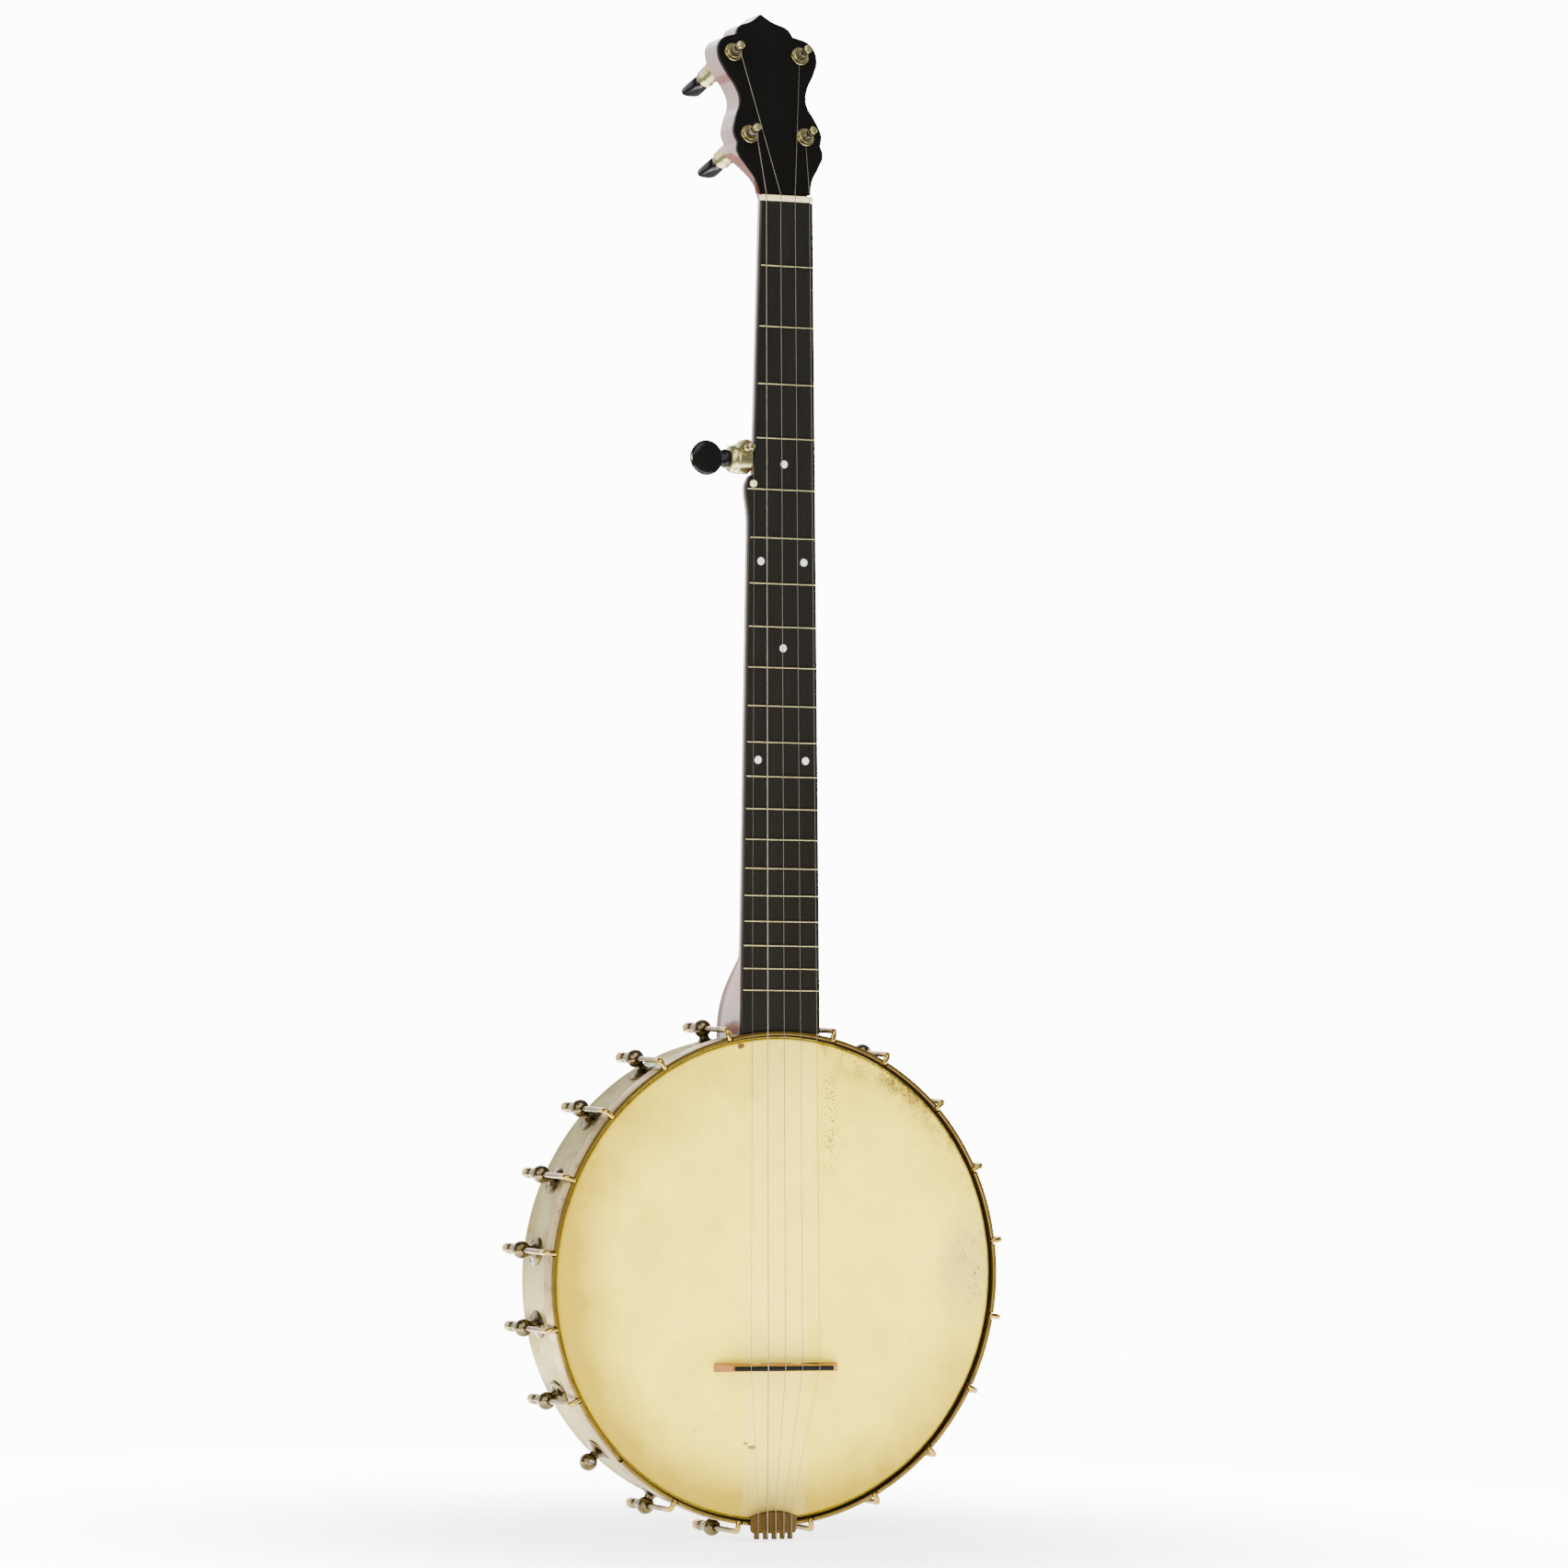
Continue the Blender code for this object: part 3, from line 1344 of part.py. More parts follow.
def make_strings():
    for index, radius in enumerate(STRING_R):
        mesh = tube_mesh(f"string_{index + 1}", string_path(index), radius, 1)
        add(f"string_{index + 1}", mesh, "steel")


# The whole


def empty(name, matrix, parent=None):
    obj = bpy.data.objects.new(name, None)
    bpy.data.collections[PARTS].objects.link(obj)
    obj.parent = parent
    obj.matrix_basis = matrix
    return obj


def make_cuts(neck_axis, peg_axis):
    """Cutters that more than one piece uses."""
    x, z = pip_place()
    pip = rod_mesh("pip_hole", PIP_R + GAP, (x, -0.002, z), (x, PIP_DEPTH + GAP, z))
    shank = rod_mesh("fifth_hole", FIFTH_SHANK_R + GAP, (0.0, 0.0, -FIFTH_SHANK_L - GAP), (0.0, 0.0, 0.01))
    bolt_low = POT_Z - RIM_R - 0.004
    bolt_top = POT_Z - WOOD_IN_R + 0.0143
    bolt = rod_mesh("bolt_hole", END_BOLT_R + GAP, (0.0, END_BOLT_Y, bolt_low), (0.0, END_BOLT_Y, bolt_top))
    return {
        "pot": guide("pot_clearance", pot_clearance_mesh(), None, pot_matrix()),
        "dowel": guide("dowel_hole", dowel_box_mesh("dowel_hole", GAP)),
        "tuners": guide("tuner_holes", tuner_holes_mesh(), peg_axis),
        "fifth": guide("fifth_hole", shank, neck_axis, fifth_matrix()),
        "pip": guide("pip_hole", pip, neck_axis),
        "bolt": guide("bolt_hole", bolt),
    }


def main():
    clear_scene()
    neck_axis = empty("neck_axis", neck_matrix())
    peg_axis = empty("peghead_axis", peg_matrix(), neck_axis)
    cuts = make_cuts(neck_axis, peg_axis)

    shell = make_shell()
    wood = make_rim_wood()
    for ring in (shell, wood):
        boolean(ring, cuts["dowel"], "DIFFERENCE")
        boolean(ring, cuts["bolt"], "DIFFERENCE")
    make_head()
    make_flesh_hoop()
    make_tension_hoop()
    make_hooks()

    make_neck(neck_axis, peg_axis, cuts)
    make_fingerboard(neck_axis, cuts)
    make_overlay(peg_axis, cuts)
    make_nut(neck_axis)
    make_pip(neck_axis)
    dowel = make_dowel()
    boolean(dowel, cuts["bolt"], "DIFFERENCE")
    make_brace()

    for number, place in enumerate(tuner_places(), start=1):
        make_tuner(number, place, peg_axis)
    make_fifth_peg(neck_axis)

    make_bridge()
    make_tailpiece()
    make_end_bolt()
    make_strings()

    for obj in bpy.data.collections[PARTS].objects:
        if obj.type == "MESH":
            obj.data.shade_smooth()
            obj.data.set_sharp_from_angle(angle=math.radians(35))


main()
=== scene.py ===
import json
import math

import bpy
from bpy.props import FloatProperty, FloatVectorProperty, PointerProperty
from mathutils import Matrix, Vector

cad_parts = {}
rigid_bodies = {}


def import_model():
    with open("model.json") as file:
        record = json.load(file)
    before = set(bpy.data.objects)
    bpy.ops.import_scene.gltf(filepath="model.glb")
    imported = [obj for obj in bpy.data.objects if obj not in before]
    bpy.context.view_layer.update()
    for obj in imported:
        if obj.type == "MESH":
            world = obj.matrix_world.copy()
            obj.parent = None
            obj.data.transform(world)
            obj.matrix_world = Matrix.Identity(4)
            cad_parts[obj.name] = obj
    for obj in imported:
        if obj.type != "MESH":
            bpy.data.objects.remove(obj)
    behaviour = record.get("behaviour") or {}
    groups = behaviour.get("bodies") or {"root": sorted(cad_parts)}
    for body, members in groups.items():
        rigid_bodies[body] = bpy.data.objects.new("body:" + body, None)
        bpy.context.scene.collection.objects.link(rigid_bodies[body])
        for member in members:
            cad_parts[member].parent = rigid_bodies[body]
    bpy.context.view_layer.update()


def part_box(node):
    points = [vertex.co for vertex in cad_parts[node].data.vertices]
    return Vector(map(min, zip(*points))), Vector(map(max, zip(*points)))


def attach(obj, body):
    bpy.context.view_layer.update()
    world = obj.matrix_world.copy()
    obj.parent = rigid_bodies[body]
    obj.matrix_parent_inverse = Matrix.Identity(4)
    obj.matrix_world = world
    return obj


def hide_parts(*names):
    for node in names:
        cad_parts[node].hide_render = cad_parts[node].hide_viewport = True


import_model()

bl_info = {
    "name": "Open-back banjo",
    "version": (1, 0, 0),
    "blender": (4, 5, 0),
    "location": "3D View > Sidebar > Banjo",
    "description": "Builds the detailed pieces and finishes of an upright open-back banjo",
    "category": "Add Mesh",
}

POT_Z = sum(corner[2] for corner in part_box("head")) / 2

# The CAD's fit between two pieces, and the fit that lets no light through
GAP, TOUCH = 0.0003, 0.00002


# Sizes and colours that a user would change


def length(name, description, default):
    return FloatProperty(
        name=name, description=description, default=default, min=0.0, unit="LENGTH", precision=5
    )


def turn(name, description, degrees):
    default = math.radians(degrees)
    return FloatProperty(name=name, description=description, default=default, unit="ROTATION")


def colour(name, description, default):
    return FloatVectorProperty(
        name=name, description=description, default=default, min=0.0, max=1.0, subtype="COLOR"
    )


class BanjoSizes(bpy.types.PropertyGroup):
    pot_z: length("Pot height", "Height of the pot's centre above the cradle", POT_Z)
    rim_r: length("Rim radius", "Outside radius of the metal shell", 0.1390)
    rim_front: length("Rim half depth", "Half the depth of the rim", 0.0254)
    shell_t: length("Shell thickness", "Thickness of the spun metal", 0.0008)
    wood_t: length("Wood thickness", "Thickness of the wooden ring", 0.0078)
    head_t: length("Skin thickness", "Thickness of the drum skin", 0.0005)
    hoop_r: length("Hoop radius", "Outside radius of the tension hoop", 0.1442)
    hoop_proud: length("Hoop rise", "How far the hoop stands in front of the skin", 0.0028)
    hoop_depth: length("Hoop depth", "Depth of the hoop from front to back", 0.0115)
    hoop_lip: length("Hoop lip", "Width of the hoop's front lip", 0.0024)
    hook_r: length("Hook radius", "Radius of a hook's rod", 0.00165)
    hook_pitch: length("Hook circle", "Radius of the circle that the hooks stand on", 0.14855)
    shoe_y: length("Shoe depth", "Depth of the ball shoes behind the rim's middle", 0.0066)
    ball_r: length("Ball radius", "Radius of a shoe's ball", 0.0053)
    foot_r: length("Foot radius", "Radius of a shoe's foot", 0.0083)
    bracket_nut: length("Bracket nut", "Length of a bracket nut", 0.0165)
    neck_l: length("Neck length", "From the nut to the pot's front edge", 0.4847)
    neck_tilt: turn("Neck tilt", "How far the neck leans back", 2.3)
    scale_l: length("Scale length", "Length that the frets are placed by", 0.6731)
    board_t: length("Board thickness", "Thickness of the fingerboard", 0.0032)
    fret_r: length("Fret radius", "Half the width of a fret wire's crown", 0.0005)
    dot_r: length("Dot radius", "Radius of a position dot", 0.00225)
    peg_tilt: turn("Peghead tilt", "How far the peghead leans back from the neck", 16.5)
    peg_wood: length("Peghead wood", "Thickness of the peghead behind its face", 0.0155)
    barrel_l: length("Tuner barrel", "Length of a tuner's barrel", 0.0202)
    button_l: length("Tuner button", "Length of a tuner's button", 0.0221)


class BanjoColours(bpy.types.PropertyGroup):
    skin: colour("Skin", "Cream of the drum skin", (0.97, 0.755, 0.045))
    skin_warm: colour("Skin, warm", "Amber that the skin ages to", (0.38, 0.265, 0.010))
    stain: colour("Skin stains", "Brown of the skin's spots and smudges", (0.10, 0.055, 0.018))
    nickel: colour("Nickel", "Worn nickel plate", (0.37, 0.330, 0.155))
    nickel_stain: colour("Nickel stains", "Brass showing through worn nickel", (0.23, 0.170, 0.058))
    gilt: colour("Gilt brass", "Bright brass of the hoop and hooks", (0.34, 0.225, 0.045))
    # Tarnished brown on the hooks; the hoop's lip also takes it as painted shade
    tarnish_and_shade: colour("Tarnish", "Brown tarnish on brass", (0.085, 0.05, 0.018))
    bronze: colour("Tailpiece", "Brown worn plate of the tailpiece", (0.062, 0.036, 0.010))
    neck: colour("Neck wood", "Reddish brown wood of the neck", (0.23, 0.085, 0.055))
    neck_dark: colour("Neck grain", "Dark grain of the neck", (0.085, 0.028, 0.018))
    maple: colour("Rim wood", "Pale wood of the ring and the stick", (0.40, 0.205, 0.085))
    bridge: colour("Bridge wood", "Pinkish wood of the bridge", (0.26, 0.090, 0.011))
    ebony: colour("Ebony", "Black of the fingerboard and the peghead", (0.0042, 0.0039, 0.0034))
    bone: colour("Bone", "Ivory colour of the nut and the pip", (0.98, 0.85, 0.44))
    steel: colour("String steel", "Drawn wire", (0.17, 0.155, 0.125))
    button: colour("Buttons", "Gloss black of the peg buttons", (0.004, 0.004, 0.004))


def sizes():
    return bpy.context.scene.banjo_sizes


def colours():
    return bpy.context.scene.banjo_colours


# Finishes


def maths(operation, swapped=False):
    """A method of Wire that adds one Math node."""

    def method(self, *others):
        values = (self, *others)[::-1] if swapped else (self, *others)
        return self.finish.add("ShaderNodeMath", {"operation": operation}, *values)

    return method


class Wire:
    """A socket on which Python's arithmetic adds Math nodes."""

    def __init__(self, finish, socket):
        self.finish, self.socket = finish, socket

    __add__ = __radd__ = maths("ADD")
    __mul__ = __rmul__ = maths("MULTIPLY")
    __sub__, __rsub__ = maths("SUBTRACT"), maths("SUBTRACT", True)
    __truediv__, __pow__, sine = maths("DIVIDE"), maths("POWER"), maths("SINE")

    def clamped(self):
        return self.finish.add("ShaderNodeClamp", {}, self, 0.0, 1.0)

    def between(self, low, high):
        """0 at low, 1 at high, eased between."""
        kind = {"interpolation_type": "SMOOTHSTEP"}
        return self.finish.add("ShaderNodeMapRange", kind, self, low, high, 0.0, 1.0)


class Finish:
    """A material whose nodes are added by type, settings and socket values."""

    def __init__(self, name, roughness=0.4, metallic=0.0, coat=0.0, specular=0.5):
        self.material = bpy.data.materials.new(name)
        self.material.use_nodes = True
        self.tree = self.material.node_tree
        self.shader = self.tree.nodes["Principled BSDF"]
        for socket, value in (
            ("Roughness", roughness), ("Metallic", metallic), ("Coat Weight", coat),
            ("Coat Roughness", 0.08), ("Specular IOR Level", specular),
        ):
            self.shader.inputs[socket].default_value = value
        coordinates = self.tree.nodes.new("ShaderNodeTexCoord")
        self.place = Wire(self, coordinates.outputs["Object"])

    def add(self, kind, settings, *values, output=0):
        node = self.tree.nodes.new(kind)
        for name, value in settings.items():
            setattr(node, name, value)
        sockets = [s for s in node.inputs if s.enabled and not s.is_unavailable]
        for socket, value in zip(sockets, values):
            if isinstance(value, Wire):
                self.tree.links.new(value.socket, socket)
            else:
                socket.default_value = value
        outputs = [s for s in node.outputs if s.enabled and not s.is_unavailable]
        return Wire(self, outputs[output])

    def noise(self, scale, detail=3.0, roughness=0.55, stretch=(1, 1, 1), offset=(0, 0, 0)):
        place = self.add("ShaderNodeMapping", {}, self.place, offset, (0, 0, 0), stretch)
        return self.add("ShaderNodeTexNoise", {}, place, scale, detail, roughness)

    def part(self, axis):
        """One coordinate of the place, axis 0 to 2."""
        return self.add("ShaderNodeSeparateXYZ", {}, self.place, output=axis)

    def mix(self, share, first, second):
        node = self.tree.nodes.new("ShaderNodeMix")
        node.data_type = "RGBA"
        for index, value in ((0, share), (6, first), (7, second)):
            if isinstance(value, Wire):
                self.tree.links.new(value.socket, node.inputs[index])
            else:
                node.inputs[index].default_value = (*value, 1.0)
        return Wire(self, node.outputs[2])

    def over(self, share, paint):
        """Lays a colour over the base colour by a share."""
        self.body = self.mix(share, self.body, paint)
        self.set("Base Color", self.body)

    def set(self, socket, value):
        self.tree.links.new(value.socket, self.shader.inputs[socket])

    def bump(self, height, strength, distance):
        wire = self.add("ShaderNodeBump", {})
        inputs = wire.socket.node.inputs
        inputs["Strength"].default_value, inputs["Distance"].default_value = strength, distance
        self.tree.links.new(height.socket, inputs["Height"])
        self.set("Normal", wire)


FINISHES = {}


def finish_of(maker):
    """Makes each finish once, when the first piece asks for it."""
    if maker.__name__ not in FINISHES:
        FINISHES[maker.__name__] = maker().material
    return FINISHES[maker.__name__]


def shade(paint, share):
    return [share * part for part in paint]


def pot_radius(f):
    """Distance from the pot's axis."""
    x, z = f.part(0), f.part(2) - POT_Z
    return (x * x + z * z) ** 0.5


# Spots on the skin: x and height from its centre, half width, half height, strength
SKIN_SPOTS = (
    (-0.0252, 0.1352, 0.0026, 0.0019, 1.0), (-0.0702, 0.1289, 0.0020, 0.0016, 0.55),
    (-0.0129, -0.0981, 0.0030, 0.0014, 0.80), (-0.0170, -0.0958, 0.0018, 0.0010, 0.75),
    (-0.0499, -0.0880, 0.0012, 0.0009, 0.35), (-0.0890, -0.0030, 0.0012, 0.0009, 0.35),
)


def aged_skin():
    """Drum skin: cream, mottled, amber at the edge, with specks, spots, a smudge and a painted shadow at
    its rim.
    """
    c = colours()
    f = Finish("aged_skin", roughness=0.5, specular=0.05)
    cloud = f.noise(9.0, 4.0, 0.6)
    veil = f.noise(38.0, 5.0, 0.65, offset=(3.1, 0.0, 1.7))
    radius, lane, height = pot_radius(f), f.part(0), f.part(2) - POT_Z
    share = (cloud * 2.2 - 0.85).clamped() * 0.40 + (veil * 2.2 - 0.95).clamped() * 0.36
    low_left = (0.55 - (lane + height) * 3.4).clamped()
    f.body = c.skin
    f.over((share + radius.between(0.095, 0.1415) * (0.25 + low_left * 0.75)).clamped(), c.skin_warm)
    polish = lane.between(-0.021, -0.016) * (1.0 - lane.between(0.020, 0.0245))
    streak = f.noise(60.0, 2.0, 0.5, stretch=(9.0, 0.2, 0.12))
    f.over(polish * (0.02 + streak * 0.14), (0.95, 0.84, 0.48))
    # The band of specks, the grey rub at the right and the browned edge at the upper right
    band = lane.between(0.024, 0.034) * (1.0 - lane.between(0.034, 0.043))
    band = band * height.between(0.050, 0.072) * (1.0 - height.between(0.108, 0.128))
    rub_x, rub_z = (lane - 0.126) / 0.028, (height - 0.008) / 0.046
    rub = 1.0 - ((rub_x * rub_x + rub_z * rub_z) ** 0.5).between(0.25, 1.0)
    edge_rub = radius.between(0.122, 0.138) * height.between(0.02, 0.12) * lane.between(0.0, 0.05)
    f.over(rub * (0.40 + f.noise(420.0, 3.0, 0.7).between(0.42, 0.66) * 0.25), (0.40, 0.335, 0.115))
    specks = 1.0 - f.add("ShaderNodeTexVoronoi", {}, f.place, 620.0).between(0.26, 0.42)
    sparse = f.noise(150.0, 3.0, 0.6, offset=(0.0, 2.0, 1.0))
    marks = spots_on(f, lane, height)
    marks = marks + specks * (band * sparse.between(0.36, 0.50) + rub * sparse.between(0.42, 0.6) * 0.6)
    marks = marks + edge_rub * veil.between(0.46, 0.62) * 0.7 + specks * edge_rub * 0.5
    marks = marks + specks * sparse.between(0.60, 0.68) * 0.35
    marks = (marks + f.noise(900.0, 2.0, 0.6).between(0.66, 0.74) * 0.06).clamped()
    f.over(marks, c.stain)
    # Painted shadow: the skin turns near-black where it dives under the hoop's lip, and on its roll behind
    # the hoop
    f.over((radius + veil * 0.0008).between(0.1405, 0.1413), (0.010, 0.007, 0.003))
    f.set("Roughness", 0.42 + veil * 0.16 + marks * 0.2)
    f.bump(f.noise(520.0, 4.0, 0.6) + cloud * 6.0, 0.18, 0.0004)
    return f


def spots_on(f, x, z):
    wobble = (f.noise(700.0, 2.0, 0.6) - 0.5) * 0.7
    total = 0.0
    for at_x, at_z, half_x, half_z, strength in SKIN_SPOTS:
        dx, dz = (x - at_x) / half_x, (z - at_z) / half_z
        total = total + (1.0 - ((dx * dx + dz * dz) ** 0.5 + wobble).between(0.70, 1.10)) * strength
    return total


def worn_metal(name, clean, stain, amount, roughness, scale, bump=0.10):
    """Plated metal with stained patches, dull spots and a fine brushed grain."""
    f = Finish(name, metallic=1.0)
    f.patch = f.noise(scale, 5.0, 0.65)
    f.fine = f.noise(scale * 6.0, 4.0, 0.7, offset=(1.3, 2.2, 0.4))
    share = (f.patch.between(0.60 - amount, 0.72) * 0.8 + f.fine.between(0.55, 0.75) * 0.35).clamped()
    f.body = clean
    f.over(share, stain)
    f.set("Roughness", roughness + share * 0.16 + f.fine * 0.10)
    f.bump(f.fine + f.noise(scale * 30.0, 2.0, 0.5) * 0.3, bump, 0.0002)
    return f


def shell_nickel():
    """The shell: pale nickel with brassy clouds and fine lines round the rim."""
    c = colours()
    f = worn_metal("shell_nickel", c.nickel, c.nickel_stain, 0.18, 0.46, 26.0)
    deep = f.part(1)
    lines = f.add("ShaderNodeTexNoise", {"noise_dimensions": "1D"}, deep, 2600.0, 3.0, 0.6)
    f.over(deep.between(0.014, 0.0245) * 0.45, c.nickel_stain)
    grime = f.noise(70.0, 5.0, 0.7, offset=(0.2, 5.0, 0.0)).between(0.58, 0.74)
    f.over(grime * 0.45, (0.24, 0.19, 0.12))
    f.bump(lines + f.fine * 0.6, 0.10, 0.0002)
    return f


def fitting_nickel():
    c = colours()
    return worn_metal("fitting_nickel", c.nickel, c.nickel_stain, 0.14, 0.24, 160.0)


def recess_shade_nickel():
    """Painted shade: the posts' waists and recesses get a dark nickel."""
    return worn_metal("recess_shade_nickel", (0.13, 0.105, 0.065), (0.05, 0.03, 0.012), 0.20, 0.30, 160.0)


def shoe_nickel():
    """Ball shoes: duller nickel, browned where the hands don't polish it."""
    return worn_metal("shoe_nickel", (0.105, 0.082, 0.040), (0.055, 0.032, 0.010), 0.20, 0.15, 120.0)


def hook_plate():
    """Hooks: nickel rods that turn to bare bright brass at the bend, browned at the back."""
    c = colours()
    f = worn_metal("hook_plate", (0.140, 0.102, 0.043), (0.075, 0.043, 0.013), 0.16, 0.15, 140.0)
    deep = f.part(1)
    bare = 1.0 - (deep + f.patch * 0.006).between(-0.0215, -0.0155)
    back = (deep + f.patch * 0.004).between(0.0215, 0.0255)
    f.over((bare + back * 0.7).clamped() * 0.9, c.gilt)
    f.over(f.fine.between(0.56, 0.72) * 0.45, c.tarnish_and_shade)
    return f


def hoop_gilt():
    """The tension hoop: bright outer corner, brown lip with painted shade on its inner face, greyer wall.
    """
    c, s, front = colours(), sizes(), hoop_front()
    f = worn_metal("hoop_gilt", shade(c.gilt, 0.40), (0.075, 0.045, 0.013), 0.20, 0.30, 90.0)
    radius, deep = pot_radius(f), f.part(1)
    back, lip = front + s.hoop_depth, s.hoop_r - s.hoop_lip
    wall = deep.between(front + 0.0006, front + 0.0018)
    wall = wall * radius.between(s.hoop_r - 0.0006, s.hoop_r - 0.0002)
    f.over(wall * 0.85, (0.31, 0.225, 0.095))
    f.over(wall * f.patch.between(0.50, 0.62) * 0.7, (0.17, 0.095, 0.028))
    # Painted shade darkens the lip's inner face and the front edge beside it; the hoop is also darker
    # along its back edge, and the fine patches are tarnished brass
    inside = 1.0 - radius.between(lip, lip + 0.0005)
    dark = inside * 0.9 + deep.between(back - 0.0010, back - 0.0003) * 0.8
    f.over((dark + f.fine.between(0.55, 0.75) * 0.3).clamped(), c.tarnish_and_shade)
    return f


def brown_plate():
    f = worn_metal("brown_plate", colours().bronze, (0.12, 0.072, 0.022), 0.06, 0.40, 500.0, 0.25)
    f.over(f.noise(1500.0, 3.0, 0.7).between(0.60, 0.72) * 0.5, (0.03, 0.017, 0.006))
    return f


def wire_steel():
    return worn_metal("wire_steel", colours().steel, (0.20, 0.17, 0.13), 0.06, 0.26, 300.0, 0.03)


def wound_wire():
    """The fourth string's winding, as ridges along its length."""
    f = worn_metal("wound_wire", (0.22, 0.20, 0.17), (0.14, 0.11, 0.08), 0.08, 0.32, 300.0)
    f.bump((f.part(2) * (2 * math.pi / 0.00022)).sine(), 0.6, 0.00004)
    return f


def grained_wood(name, light, dark, along, grain, coat, roughness, pores=0.4, specular=0.5):
    """Wood cut along one axis: wandering bands, fine streaks and open pores."""
    f = Finish(name, coat=coat, specular=specular)
    stretch = [1.0, 1.0, 1.0]
    stretch[along] = 0.06
    bands = f.noise(grain, 3.0, 0.6, stretch=stretch)
    stretch[along] = 0.03
    f.streaks = f.noise(grain * 14.0, 3.0, 0.65, stretch=stretch, offset=(2.0, 0.7, 0.3))
    pore = f.noise(grain * 42.0, 2.0, 0.5, stretch=stretch, offset=(0.4, 3.0, 1.1)).between(0.60, 0.70)
    share = (bands.between(0.30, 0.72) * 0.6 + f.streaks.between(0.35, 0.70) * 0.4).clamped()
    f.body = light
    f.over(share * 0.85, dark)
    f.over(pore * pores, shade(dark, 0.45))
    f.set("Roughness", roughness + f.streaks * 0.14)
    f.bump(f.streaks - pore * 1.2, 0.10, 0.0002)
    return f


def neck_wood():
    """Lacquered reddish neck, rubbed paler along the playing length."""
    c = colours()
    f = grained_wood("neck_wood", c.neck, c.neck_dark, 2, 30.0, 0.6, 0.26)
    rubbed = f.noise(14.0, 4.0, 0.6, stretch=(1, 1, 0.4)).between(0.45, 0.75)
    f.over(rubbed * 0.40, (0.42, 0.23, 0.165))
    return f


def ring_maple():
    """Bent ring: the grain runs round the rim, which noise on depth and radius gives."""
    f = Finish("ring_maple", coat=0.15)
    place = f.add("ShaderNodeCombineXYZ", {}, pot_radius(f), f.part(1), f.part(0) * 0.05)
    bands = f.add("ShaderNodeTexNoise", {}, place, 170.0, 4.0, 0.6)
    fine = f.add("ShaderNodeTexNoise", {}, place, 1400.0, 3.0, 0.6)
    f.body = colours().maple
    share = (bands.between(0.35, 0.7) * 0.6 + fine.between(0.4, 0.7) * 0.3).clamped()
    f.over(share, shade(f.body, 0.42))
    f.over(f.noise(22.0, 4.0, 0.6).between(0.5, 0.8) * 0.4, (0.20, 0.10, 0.05))
    f.set("Roughness", 0.38 + fine * 0.16)
    f.bump(fine, 0.08, 0.0002)
    return f


def stick_maple():
    light = colours().maple
    return grained_wood("stick_maple", light, shade(light, 0.5), 2, 34.0, 0.15, 0.40)


def bridge_maple():
    light = colours().bridge
    return grained_wood("bridge_maple", light, shade(light, 0.55), 0, 90.0, 0.0, 0.45, 0.25)


def played_ebony():
    """Fingerboard: black with grey-brown streaks, duller between the lower frets."""
    pale, black = (shade(colours().ebony, share) for share in (3.6, 2.0))
    f = grained_wood("played_ebony", pale, black, 2, 44.0, 0.0, 0.36, 0.3, 0.05)
    wear = f.noise(34.0, 4.0, 0.6, stretch=(1, 1, 0.25)).between(0.40, 0.75)
    lower = 1.0 - f.part(2).between(0.30, 0.74)
    f.over((0.20 + lower * 0.5 + wear * 0.35).clamped() * 0.75, (0.0068, 0.0058, 0.0034))
    f.set("Roughness", 0.30 + wear * 0.14 + f.streaks * 0.10)
    return f


def face_ebony():
    """Peghead face: deep black veneer with a soft polish and faint scuffs."""
    black = colours().ebony
    f = grained_wood("face_ebony", shade(black, 1.3), black, 2, 40.0, 0.0, 0.34, 0.2, 0.03)
    scuff = f.noise(260.0, 4.0, 0.7).between(0.62, 0.76)
    f.over(scuff * 0.25, (0.016, 0.015, 0.013))
    f.set("Roughness", 0.30 + scuff * 0.25 + f.streaks * 0.06)
    return f


def cap_ebony():
    black = colours().ebony
    return grained_wood("cap_ebony", shade(black, 1.5), black, 0, 90.0, 0.0, 0.35, 0.2, 0.06)


def old_bone():
    f = Finish("old_bone")
    cloud = f.noise(220.0, 4.0, 0.6, stretch=(0.4, 1, 1))
    line = f.noise(900.0, 3.0, 0.6, stretch=(0.1, 1, 1)).between(0.55, 0.75)
    f.body = colours().bone
    f.over(cloud.between(0.35, 0.75) * 0.5, (0.60, 0.44, 0.20))
    f.over(line * 0.3, (0.33, 0.22, 0.10))
    f.set("Roughness", 0.26 + cloud * 0.14)
    f.bump(line, 0.05, 0.0001)
    return f


def pearl():
    f = Finish("pearl", coat=0.4)
    flow = f.noise(420.0, 4.0, 0.6)
    f.body = (0.88, 0.87, 0.85)
    f.over(flow.between(0.35, 0.65), (0.62, 0.66, 0.66))
    f.over(f.noise(900.0, 2.0, 0.5).between(0.5, 0.7) * 0.4, (0.80, 0.66, 0.66))
    f.set("Roughness", 0.12 + flow * 0.12)
    return f


def gloss_button():
    """Moulded black buttons with dulled edges and hairline scratches."""
    f = Finish("gloss_button", specular=0.12)
    scratch = f.noise(700.0, 3.0, 0.7, stretch=(1, 1, 0.2)).between(0.60, 0.72)
    cloud = f.noise(120.0, 3.0, 0.6)
    f.body = colours().button
    f.over(scratch * 0.25, (0.03, 0.027, 0.024))
    f.set("Roughness", 0.10 + cloud * 0.14 + scratch * 0.2)
    f.bump(cloud, 0.05, 0.0002)
    return f


